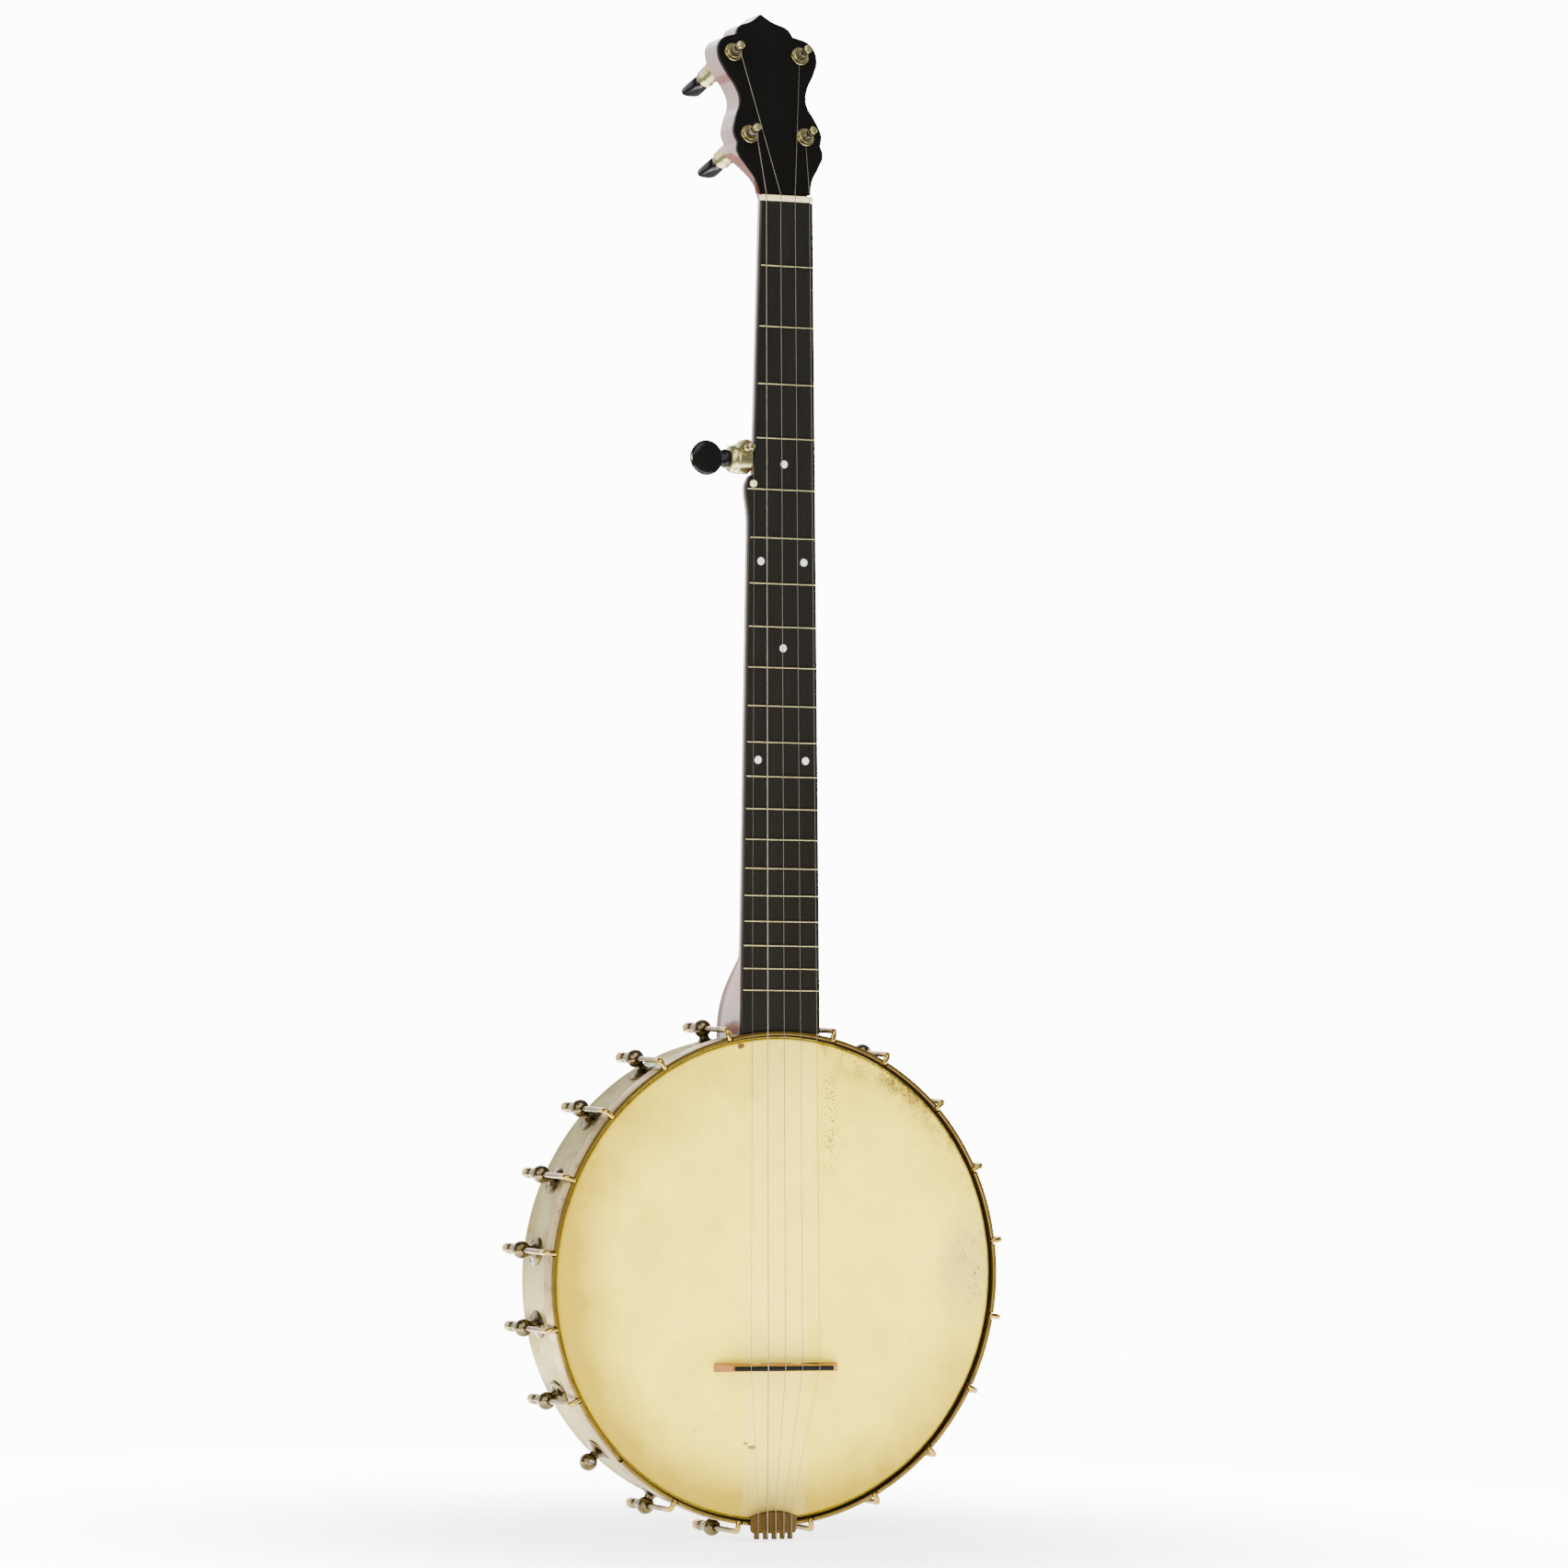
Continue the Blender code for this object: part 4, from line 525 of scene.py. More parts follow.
def pale_floor():
    """White floor that glows away from the object, so that its edge melts into the air."""
    f = Finish("pale_floor", roughness=0.75, specular=0.1)
    f.body = (0.94, 0.94, 0.935)
    f.over(f.noise(1.4, 2.0, 0.5).between(0.3, 0.7), (0.92, 0.92, 0.915))
    x, y = f.part(0), f.part(1)
    glow = ((x * x + y * y) ** 0.5).between(0.10, 0.55)
    f.shader.inputs["Emission Strength"].default_value = FLOOR_GLOW
    f.set("Emission Color", f.mix(glow, (0.26, 0.26, 0.26), (1.0, 1.0, 1.0)))
    return f


# Modelling


def mode(name):
    bpy.ops.object.mode_set(mode=name)


def clear_selection():
    if bpy.context.mode != "OBJECT":
        mode("OBJECT")
    bpy.ops.object.select_all(action="DESELECT")


def pick(*pieces):
    """Selects pieces, the first one active."""
    clear_selection()
    for piece in pieces:
        piece.select_set(True)
    bpy.context.view_layer.objects.active = pieces[0]


def named(name):
    piece = bpy.context.object
    piece.name = piece.data.name = name
    return piece


def begin(name):
    """Opens a new empty piece in edit mode."""
    clear_selection()
    bpy.ops.mesh.primitive_plane_add(size=0.01)
    piece = named(name)
    mode("EDIT")
    bpy.ops.mesh.select_mode(type="VERT")
    bpy.ops.mesh.delete(type="VERT")
    return piece


def extrude(move):
    bpy.ops.mesh.extrude_region_move(TRANSFORM_OT_translate={"value": move})


def draw(points, closed=False):
    """Draws a chain of edges by extruding one vertex from point to point."""
    points = [Vector(point) for point in points]
    bpy.ops.mesh.primitive_plane_add(size=0.001, location=points[0])
    bpy.ops.mesh.merge(type="CENTER")
    for low, high in zip(points, points[1:]):
        extrude(high - low)
    bpy.ops.mesh.select_linked()
    if closed:
        bpy.ops.mesh.edge_face_add()


def select_all():
    bpy.ops.mesh.select_all(action="SELECT")


def tidy(threshold=1e-6):
    """Welds what meets, turns the faces outwards and leaves edit mode."""
    select_all()
    bpy.ops.mesh.remove_doubles(threshold=threshold)
    bpy.ops.mesh.normals_make_consistent(inside=False)
    mode("OBJECT")


def turned(name, profile, steps=64, closed=False):
    """Turns a profile of (radius, height) round Z."""
    piece = begin(name)
    draw([(r, 0.0, h) for r, h in profile], closed)
    if closed:
        bpy.ops.mesh.delete(type="ONLY_FACE")
    select_all()
    bpy.ops.mesh.spin(steps=steps, angle=2 * math.pi, center=(0, 0, 0), axis=(0, 0, 1))
    tidy()
    return piece


def lofted(name, sections):
    """Bridges a row of closed sections and closes both ends."""
    piece = begin(name)
    for section in sections:
        draw(section, True)
        bpy.ops.mesh.delete(type="ONLY_FACE")
    bpy.ops.mesh.select_mode(type="EDGE")
    select_all()
    bpy.ops.mesh.bridge_edge_loops()
    select_all()
    bpy.ops.mesh.fill_holes(sides=0)
    bpy.ops.mesh.select_mode(type="VERT")
    tidy()
    return piece


def plate(name, knots, thickness, edge=0.0, resolution=1, fill="BOTH"):
    """A flat curve in XY with a thickness about Z and rounded edges. Knots are (x, y, corner)."""
    clear_selection()
    bpy.ops.curve.primitive_bezier_circle_add(radius=0.01)
    piece = named(name)
    curve = piece.data
    curve.dimensions, curve.fill_mode, curve.resolution_u = "2D", fill, resolution
    curve.extrude, curve.bevel_depth, curve.offset = thickness / 2 - edge, edge, -edge
    curve.bevel_resolution = 2
    line = curve.splines[0]
    line.bezier_points.add(len(knots) - len(line.bezier_points))
    for point, (x, y, corner) in zip(line.bezier_points, knots):
        point.co = (x, y, 0.0)
        point.handle_left_type = point.handle_right_type = "VECTOR" if corner else "AUTO"
    bpy.ops.object.convert(target="MESH")
    mode("EDIT")
    tidy(1e-5)
    return piece


def cornered(points):
    return [(x, y, True) for x, y in points]


def block(name, size, centre, edge=0.0, segments=2):
    """A box that is bevelled on every edge."""
    clear_selection()
    bpy.ops.mesh.primitive_cube_add(size=1.0, location=centre)
    piece = named(name)
    mode("EDIT")
    bpy.ops.transform.resize(value=size)
    if edge:
        bpy.ops.mesh.bevel(offset=edge, segments=segments, affect="EDGES")
    mode("OBJECT")
    return settle(piece)


def rod(name, radius, start, end, sides=24, cap=0.0):
    """A cylinder between two points, its ends bevelled by cap."""
    start, end = Vector(start), Vector(end)
    clear_selection()
    bpy.ops.mesh.primitive_cylinder_add(
        vertices=sides, radius=radius, depth=(end - start).length,
        location=(start + end) / 2, rotation=(end - start).to_track_quat("Z", "Y").to_euler(),
    )
    piece = named(name)
    if cap:
        soften(piece, cap, 60)
    return settle(piece)


def tube(name, points, radius):
    """A round tube along a chain of points."""
    begin(name)
    draw(points)
    mode("OBJECT")
    bpy.ops.object.convert(target="CURVE")
    curve = bpy.context.object.data
    curve.bevel_depth, curve.bevel_resolution, curve.use_fill_caps = radius, 2, True
    bpy.ops.object.convert(target="MESH")
    mode("EDIT")
    tidy()
    return named(name)


def settle(piece, matrix=None):
    """Applies a piece's place to its mesh, after a move if one is given."""
    pick(piece)
    if matrix is not None:
        piece.matrix_world = matrix @ piece.matrix_world
    bpy.ops.object.transform_apply(location=True, rotation=True, scale=True)
    return piece


def apply_modifier(piece, kind, **settings):
    pick(piece)
    step = piece.modifiers.new(kind.lower(), kind)
    for name, value in settings.items():
        setattr(step, name, value)
    bpy.ops.object.modifier_apply(modifier=step.name)
    return piece


def soften(piece, width, angle):
    limit = math.radians(angle)
    return apply_modifier(
        piece, "BEVEL", width=width, segments=2, limit_method="ANGLE", angle_limit=limit
    )


def combine(piece, others, operation):
    for other in others:
        apply_modifier(piece, "BOOLEAN", operation=operation, solver="EXACT", object=other)
        bpy.data.objects.remove(other, do_unlink=True)
    return piece


def cut(piece, *cutters):
    return combine(piece, cutters, "DIFFERENCE")


def place_each(master, names, matrices):
    """Copies a master, with a mesh of its own each time, to every place and removes it."""
    made = []
    for name, matrix in zip(names, matrices):
        twin = master.copy()
        twin.data = master.data.copy()
        twin.name = twin.data.name = name
        bpy.context.scene.collection.objects.link(twin)
        made.append(settle(twin, matrix))
    bpy.data.objects.remove(master, do_unlink=True)
    return made


def dress(piece, finish, node, body="banjo", smooth=28):
    """Gives a piece its finish and its body, and hides the CAD node that it stands for."""
    pick(piece)
    bpy.ops.object.shade_smooth_by_angle(angle=math.radians(smooth))
    piece.data.materials.clear()
    piece.data.materials.append(finish_of(finish))
    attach(piece, body)
    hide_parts(node)


# Places

Y_FORWARD = Matrix.Rotation(math.radians(90), 4, "X")
UPSIDE_DOWN = Matrix.Rotation(math.radians(180), 4, "X")
MISSING_HOOK = 13
LIP_DEPTH = 0.0042

# Degrees from the neck: the brackets beside the heel, then each side's next one and the pitch
HEEL_BRACKET, BRACKET_SIDES = 13.5, ((28.2, 17.7), (31.5, 17.5))


def shift(x, y, z):
    return Matrix.Translation((x, y, z))


def z_to_x(y=0.0):
    """Turns a piece's X, Y and Z to Y, Z and X, and moves it to the depth y."""
    return Matrix(((0, 0, 1, 0), (1, 0, 0, y), (0, 1, 0, 0), (0, 0, 0, 1)))


def arc(centre, radius, start, end, count):
    """Points on an arc, angles in degrees, both ends included."""
    angles = [math.radians(start + (end - start) * i / (count - 1)) for i in range(count)]
    return [(centre[0] + radius * math.cos(a), centre[1] + radius * math.sin(a)) for a in angles]


def power_curve(a, power):
    """A point at the angle a on an oval that is squarer as its power rises."""
    return [math.copysign(abs(v) ** (2 / power), v) for v in (math.cos(a), math.sin(a))]


def within(value):
    return max(0.0, min(1.0, value))


def pot_matrix():
    return shift(0.0, 0.0, sizes().pot_z) @ Y_FORWARD


def bracket_places():
    """A matrix for each bracket, clockwise from the neck: X runs out from the axis, Y to the back."""
    right, left = ([first + pitch * i for i in range(9)] for first, pitch in BRACKET_SIDES)
    places = []
    for angle in [HEEL_BRACKET] + right + [-angle for angle in reversed(left)] + [-HEEL_BRACKET]:
        sine, cosine = math.sin(math.radians(angle)), math.cos(math.radians(angle))
        rows = (sine, 0.0, -cosine, 0.0), (0.0, 1.0, 0.0, 0.0), (cosine, 0.0, sine, sizes().pot_z)
        places.append(Matrix((*rows, (0.0, 0.0, 0.0, 1.0))))
    return places


def head_front():
    s = sizes()
    return -s.rim_front - GAP - s.head_t


def hoop_front():
    return head_front() - sizes().hoop_proud


def neck_matrix():
    s = sizes()
    foot = shift(0.0, hoop_front() + 0.0015, s.pot_z + s.hoop_r)
    return foot @ Matrix.Rotation(-s.neck_tilt, 4, "X")


def peg_matrix():
    s = sizes()
    place = shift(0.0028, 0.0035, s.neck_l + 0.0045)
    return neck_matrix() @ place @ Matrix.Rotation(-s.peg_tilt, 4, "X")


def fret_distance(number):
    return sizes().scale_l * (1.0 - 2.0 ** (-number / 12.0))


def ring(name, section):
    """A ring round the pot's axis from a closed section of (radius, depth)."""
    return settle(turned(name, [(r, -y) for r, y in section], 240, True), pot_matrix())


# Pieces of the pot


class PieceOperator:
    bl_options = {"REGISTER", "UNDO"}


class BANJO_OT_rim(PieceOperator, bpy.types.Operator):
    """The spun metal shell, the wooden ring inside it and its ball shoes"""

    bl_idname = "banjo.rim"
    bl_label = "Rim and shoes"

    def execute(self, context):
        s = sizes()
        front, back, r, t = -s.rim_front, s.rim_front, s.rim_r, s.shell_t
        soft, edge = 0.0016, r - 0.0052
        section = [(edge, front)] + arc((r - soft, front + soft), soft, -90, 0, 5)
        section += [(r, back - 0.0050), (r + 0.0003, back - 0.0042)]
        section += [(r + 0.0004, back - 0.0030), (r + 0.0003, back - 0.0018)]
        section += arc((r - soft, back - soft), soft, 0, 90, 5)
        section += [(edge, back), (edge, back - t)]
        section += [(r - soft, back - t), (r - t, back - soft), (r - t, front + soft)]
        section += [(r - soft, front + t), (edge, front + t)]
        dress(ring("metal_shell", section), shell_nickel, "rim_shell")

        out, inside = r - t - GAP, r - t - GAP - s.wood_t
        low, high = front + t + GAP, back - t - GAP
        wood = [(out, low), (out, high)]
        wood += arc((inside + soft, high - soft), soft, 90, 180, 4)
        wood += arc((inside + soft, low + soft), soft, 180, 270, 4)
        dress(ring("wood_ring", wood), ring_maple, "rim_wood")
        add_shoes(s, inside)
        return {"FINISHED"}


def add_shoes(s, inside):
    r, pitch, reach = s.rim_r, s.hook_pitch, s.ball_r + 0.001
    profile = [(0.0, r - 0.0006), (s.foot_r, r - 0.0006), (s.foot_r, r + 0.0006)]
    profile += [(s.foot_r * 0.95, r + 0.0010), (s.foot_r * 0.72, r + 0.0016)]
    profile += [(0.0043, r + 0.0024), (0.0031, r + 0.0036)]
    profile += arc((0.0, pitch), s.ball_r, -56, 90, 14)
    shoe = turned("shoe", [(max(x, 0.0), h) for x, h in profile], 32)
    settle(shoe, z_to_x(s.shoe_y))
    cut(shoe, rod("bore", s.hook_r + GAP, (pitch, s.shoe_y - reach, 0), (pitch, s.shoe_y + reach, 0)))
    screw = turned("screw", [
        (0.0, inside + 0.0002), (0.0, inside - 0.0018), (0.0016, inside - 0.0018),
        (0.0030, inside - 0.0013), (0.0036, inside - 0.0004), (0.0036, inside + 0.0002),
    ], 24)
    settle(screw, z_to_x(s.shoe_y))
    cut(screw, block("slot", (0.0012, 0.0009, 0.008), (inside - 0.0016, s.shoe_y, 0.0)))
    places = bracket_places()
    for master, name in ((shoe, "ball_shoe"), (screw, "shoe_screw")):
        for piece in place_each(master, [f"{name}_{n + 1:02d}" for n in range(len(places))], places):
            dress(piece, shoe_nickel, "rim_shell")


class BANJO_OT_head(PieceOperator, bpy.types.Operator):
    """The drum skin, stretched over the rim and rolled round its wire"""

    bl_idname = "banjo.head"
    bl_label = "Drum skin"

    def execute(self, context):
        s = sizes()
        front, back = head_front(), head_front() + s.head_t
        out, inner = s.rim_r + GAP + s.head_t, s.rim_r + GAP
        soft, wire_r = 0.0014, 0.0011
        low = hoop_front() + LIP_DEPTH + GAP
        profile = [(0.0, front), (0.04, front), (0.09, front), (0.12, front)]
        profile += arc((out - soft, front + soft), soft, -90, 0, 6)
        profile += [(out, low + 0.0010), (inner, low + 0.0010), (inner, back + soft)]
        profile += arc((inner - soft + 0.0002, back + soft), soft, 0, -90, 5)[1:]
        profile += [(0.12, back), (0.0, back)]
        skin = settle(turned("skin", [(r, -y) for r, y in profile], 240), pot_matrix())
        dress(skin, aged_skin, "head")
        wire = (out + GAP + wire_r, low + wire_r)
        roll = ring("skin_roll", arc(wire, wire_r + GAP - TOUCH, 0, 330, 12))
        dress(roll, aged_skin, "flesh_hoop")
        return {"FINISHED"}


class BANJO_OT_hoop(PieceOperator, bpy.types.Operator):
    """The notched tension hoop, its hooks and their nuts"""

    bl_idname = "banjo.hoop"
    bl_label = "Hoop and hooks"

    def execute(self, context):
        s, front = sizes(), hoop_front()
        back, out, lip = front + s.hoop_depth, s.hoop_r, s.hoop_r - s.hoop_lip
        section = [(out - 0.0003, back), (out, back - 0.0003), (out, front + 0.0006)]
        section += [(out - 0.0002, front + 0.0001), (out - 0.0006, front)]
        section += [(lip + 0.0006, front + 0.0001), (lip + 0.0001, front + 0.0005)]
        section += [(lip, front + LIP_DEPTH), (out - 0.0016, front + LIP_DEPTH), (out - 0.0016, back)]
        hoop = ring("hoop", section)
        leg_y = front + s.hook_r - 0.0005
        floor = leg_y + s.hook_r + GAP
        depth = floor - front + 0.001
        size = (s.hoop_lip + 0.002, depth, 2 * (s.hook_r + GAP))
        notch = block("notch", size, (out - s.hoop_lip / 2, floor - depth / 2, 0.0))
        places = bracket_places()
        pick(*place_each(notch, [f"notch_{n}" for n in range(len(places))], places))
        bpy.ops.object.join()
        cut(hoop, named("notches"))
        dress(hoop, hoop_gilt, "tension_hoop")
        add_hooks(s, leg_y, lip, places)
        return {"FINISHED"}


def hook_rod(s, leg_y, lip, seat):
    """A rod along the pot's axis, spun through its bend and drawn in over the hoop."""
    pitch, bend, start_y = s.hook_pitch, 0.0022, seat + 0.004
    clear_selection()
    bpy.ops.mesh.primitive_circle_add(
        vertices=18, radius=s.hook_r, location=(pitch, start_y, 0.0),
        rotation=(math.radians(90), 0, 0), fill_type="NGON",
    )
    hook = named("hook")
    mode("EDIT")
    extrude((0, leg_y + bend - start_y, 0))
    centre = (pitch - bend, leg_y + bend, 0)
    bpy.ops.mesh.spin(steps=10, angle=math.pi / 2, center=centre, axis=(0, 0, 1))
    reach = pitch - bend - (lip + GAP)
    extrude((-reach + 0.0008, 0, 0))
    for step, size in ((0.0004, 0.90), (0.0003, 0.72), (0.0001, 0.50)):
        extrude((-step, 0, 0))
        bpy.ops.transform.resize(value=(size, size, size))
    tidy()
    return settle(hook)


def add_hooks(s, leg_y, lip, places):
    seat, end = s.shoe_y + s.ball_r - 0.0001, s.bracket_nut
    hook = hook_rod(s, leg_y, lip, seat)
    profile = [(0.0, 0.0), (0.0033, 0.0), (0.0033, 0.0013), (0.0029, 0.0024), (0.0024, 0.0034)]
    profile += [(0.0024, 0.0062), (0.0028, 0.0072), (0.0032, 0.0080), (0.0032, end - 0.0034)]
    profile += arc((0.0014, end - 0.0020), 0.0018, 0, 90, 5)
    profile += [(0.0012, end - 0.0002), (0.0011, end - 0.0022), (0.0, end - 0.0022)]
    nut = turned("nut", profile, 24)
    settle(nut, shift(s.hook_pitch, seat, 0.0) @ Matrix.Rotation(math.radians(-90), 4, "X"))
    numbers = [n for n in range(1, len(places) + 1) if n != MISSING_HOOK]
    spots = [places[n - 1] for n in numbers]
    hooks = place_each(hook, [f"hook_rod_{n:02d}" for n in numbers], spots)
    nuts = place_each(nut, [f"bracket_nut_{n:02d}" for n in numbers], spots)
    for n, *pair in zip(numbers, hooks, nuts):
        for piece in pair:
            dress(piece, hook_plate, f"hook_{n:02d}")


# The neck and what it carries

OVERLAY_T = 0.0025
NUT_T = 0.0040
ACTION_NUT, ACTION_BRIDGE = 0.0010, 0.0050
NECK_DEPTH, HEEL_DEPTH, HEEL_CURVE = 0.0150, 0.0500, 0.0440
HORN_RISE, HORN_REACH = 0.0085, 0.0024
TUNER_STEM_R, BORE_R, POST_WAIST_R = 0.0042, 0.0027, 0.00173
FIFTH_PEG_S, FIFTH_PEG_Y = 0.1510, 0.0095
FIFTH_R, FIFTH_L, FIFTH_WAIST_R = 0.0088, 0.0130, 0.0014
FIFTH_BOSS_Y = FIFTH_PEG_Y - FIFTH_R - 0.0012
FRETS = 20
BRIDGE_X = 0.0010
PIP_X = -0.0190
STRING_R = (0.00015, 0.00017, 0.00021, 0.00030, 0.00015)

# Half widths of the neck where each edge begins and ends; the left edge steps out at the horn
RIGHT_HALF = (0.0193, 0.0253)
UPPER_LEFT_HALF, LOWER_LEFT_HALF = (0.0138, 0.0179), (0.0209, 0.0255)

# Degrees that the peghead's sides rake, and its left half's width as a share of the right's
PEGHEAD_RAKE, PEGHEAD_LEFT = 14.3, 0.945


def nut_string_x(index):
    return 0.0026 + 0.0094 * (1.5 - index)


def pip_z():
    return sizes().neck_l - fret_distance(5) + 0.0030


def widened(ends, along, end):
    return ends[0] + (ends[1] - ends[0]) * along / end


def right_edge(s):
    return widened(RIGHT_HALF, s, sizes().neck_l)


def upper_left_edge(s):
    return widened(UPPER_LEFT_HALF, s, FIFTH_PEG_S)


def lower_left_edge(s):
    start = fret_distance(5)
    return widened(LOWER_LEFT_HALF, s - start, sizes().neck_l - start)


def left_edge(s):
    """The left half width, with the horn where the fifth string begins."""
    fret = fret_distance(5)
    horn_top = fret - HORN_RISE
    if s <= horn_top:
        return upper_left_edge(s)
    if s <= fret:
        low, high = upper_left_edge(horn_top), lower_left_edge(fret) + HORN_REACH
        return low + (high - low) * math.sqrt(1.0 - (1.0 - (s - horn_top) / HORN_RISE) ** 2)
    return lower_left_edge(s) + HORN_REACH * math.exp(-(((s - fret) / 0.011) ** 2))


def horn_stations():
    fret = fret_distance(5)
    shares = (0.0, 0.03, 0.09, 0.2, 0.36, 0.58, 0.8, 1.0)
    steps = (0.003, 0.006, 0.009, 0.012, 0.016, 0.020, 0.028)
    return [fret - HORN_RISE * (1.0 - share) for share in shares] + [fret + step for step in steps]


def heel_depth(s):
    """Depth of wood behind the board: a slow taper, then the heel's quarter round."""
    end = sizes().neck_l
    plain = NECK_DEPTH + (0.0175 - NECK_DEPTH) * within(s / end)
    reach = within((s - end + HEEL_CURVE) / HEEL_CURVE)
    return plain + (HEEL_DEPTH - plain) * (1.0 - (1.0 - reach) ** 2.7)


def neck_section(s, front, back, power, taper=0.0):
    """One section across the neck: flat in front, round behind, narrower there by taper."""
    left, right = left_edge(max(s, 0.0)), right_edge(max(s, 0.0))
    centre, half = (right - left) / 2, (right + left) / 2
    points = [(centre - half, front), (centre + half, front)]
    for i in range(23):
        x, y = power_curve(math.pi * i / 22, power)
        points.append((centre + half * x * (1.0 - taper * y), front + 0.0004 + (back - 0.0004) * y))
    return [(x, y, sizes().neck_l - s) for x, y in points]


def peghead_outline():
    """Points round the peghead's face, read from a smooth curve through its knots."""
    half = [
        (0.0166, -0.0015, 1), (0.0192, 0.0095, 0), (0.0244, 0.0180, 0), (0.0286, 0.0265, 0),
        (0.0276, 0.0325, 1), (0.0293, 0.0385, 0), (0.0268, 0.0475, 0), (0.0221, 0.0590, 0),
        (0.0240, 0.0680, 0), (0.0296, 0.0780, 0), (0.0330, 0.0880, 0), (0.0300, 0.0970, 0),
        (0.0190, 0.1014, 1), (0.0165, 0.1060, 0), (0.0068, 0.1102, 0), (0.0, 0.1150, 1),
    ]
    left = [(-PEGHEAD_LEFT * x, z, corner) for x, z, corner in reversed(half[:-1])]
    flat = plate("outline", half + left, 0.0, 0.0, 5, "NONE")
    points = [vertex.co.xy.copy() for vertex in flat.data.vertices]
    bpy.data.objects.remove(flat, do_unlink=True)
    return points


def peghead_layer(name, outline, foot, front, thickness, steps):
    """One layer of the peghead; its sides rake, and its back narrows towards the foot."""
    full = OVERLAY_T + GAP + sizes().peg_wood
    rake = math.tan(math.radians(PEGHEAD_RAKE))
    sections = []
    for step in range(steps + 1):
        depth = front + thickness * step / steps
        section = []
        for x, z in outline:
            z = max(z, foot)
            narrow = 1.0 - depth / full * 0.45 * (1.0 - within(z / 0.0260) ** 2)
            section.append((x * narrow, depth, z + depth * rake))
        sections.append(section)
    return settle(lofted(name, sections), peg_matrix())


def tuner_places():
    """Peghead places of tuners one to four: right low, right high, left high, left low."""
    return [(0.0182, 0.0372), (0.0218, 0.0890), (-0.0218, 0.0890), (-0.0182, 0.0372)]


def tuner_holes():
    reach = OVERLAY_T + sizes().peg_wood + 0.004
    for x, z in tuner_places():
        yield settle(rod("hole", TUNER_STEM_R + GAP, (x, -0.002, z), (x, reach, z), 32), peg_matrix())


class BANJO_OT_neck(PieceOperator, bpy.types.Operator):
    """The neck with its heel, horn and peghead, and the peghead's black face"""

    bl_idname = "banjo.neck"
    bl_label = "Neck and peghead"

    def execute(self, context):
        s = sizes()
        glue, start = s.board_t + TOUCH, s.neck_l - HEEL_CURVE
        sections = [
            neck_section(at, front, NECK_DEPTH + glue - front, 1.85)
            for at, front in ((-0.0140, 0.0115), (-0.0096, 0.0097), (-0.0052, 0.0078), (-0.0038, glue))
        ]
        stations = [0.0, 0.03, 0.06, 0.10, FIFTH_PEG_S - 0.012] + horn_stations()
        stations += [0.24, 0.28, 0.34, 0.40, start - 0.004]
        shares = (0.02, 0.06, 0.1, 0.16, 0.22, 0.3, 0.4, 0.5, 0.6, 0.7, 0.8, 0.9, 1.15)
        for at in stations + [start + HEEL_CURVE * share for share in shares]:
            share = within((at - start) / HEEL_CURVE)
            sections.append(neck_section(at, glue, heel_depth(at), 1.85 + 2.4 * share, 0.09 * share))
        neck = settle(lofted("carved_neck", sections), neck_matrix())
        outline = peghead_outline()
        thick = s.peg_wood + GAP - TOUCH
        wood = peghead_layer("peghead", outline, -0.0015, OVERLAY_T + TOUCH, thick, 8)
        combine(neck, [wood], "UNION")
        step, out = hoop_front() + s.hoop_depth + GAP, s.hoop_r + GAP
        profile = [(0.0, 0.06), (out, 0.06), (out, -step)]
        profile += [(s.rim_r + GAP, -step), (s.rim_r + GAP, -0.06), (0.0, -0.06)]
        pot_space = settle(turned("pot_space", profile, 180), pot_matrix())
        cut(neck, pot_space, *tuner_holes())
        soften(neck, 0.0005, 50)
        dress(neck, neck_wood, "neck", smooth=20)
        face = peghead_layer("peghead_face", outline, 0.0006, 0.0, OVERLAY_T, 2)
        cut(face, *tuner_holes())
        soften(face, 0.0003, 50)
        dress(face, face_ebony, "peghead_overlay", smooth=20)
        return {"FINISHED"}


class BANJO_OT_fingerboard(PieceOperator, bpy.types.Operator):
    """The fingerboard with its frets and dots, the nut and the fifth string's pip"""

    bl_idname = "banjo.fingerboard"
    bl_label = "Fingerboard"

    def execute(self, context):
        s = sizes()
        end, x, z = s.neck_l + 0.004, PIP_X, pip_z()
        corners = [(right_edge(0.0), 0.0), (right_edge(s.neck_l), end), (-left_edge(s.neck_l), end)]
        stations = [0.0] + horn_stations() + [0.24]
        corners += [(-left_edge(at), at) for at in reversed(stations)]
        board = plate("board", cornered((x, s.neck_l - at) for x, at in corners), s.board_t, 0.0003)
        settle(board, neck_matrix() @ shift(0.0, s.board_t / 2, 0.0) @ Y_FORWARD)
        cut(board, rod("pot_end", s.hoop_r + GAP, (0, -0.06, s.pot_z), (0, 0.06, s.pot_z), 240))
        cut(board, settle(rod("pip_hole", 0.0022, (x, -0.002, z), (x, 0.0026, z)), neck_matrix()))
        dress(board, played_ebony, "fingerboard")
        add_frets(s)
        add_dots(s)
        add_nut(s)
        head = 0.0020
        profile = [(0.0, head), (0.0012, head - 0.0001), (0.0018, head - 0.0005)]
        profile += [(0.0021, head - 0.0011), (0.0021, -0.0020), (0.0, -0.0020)]
        pip = turned("pip", profile, 28)
        cut(pip, block("slot", (2 * STRING_R[4] + 0.0003, 0.02, 0.0022), (0.0, 0.0, head)))
        settle(pip, neck_matrix() @ shift(x, 0.0, z) @ Y_FORWARD)
        dress(pip, old_bone, "fifth_string_pip")
        return {"FINISHED"}


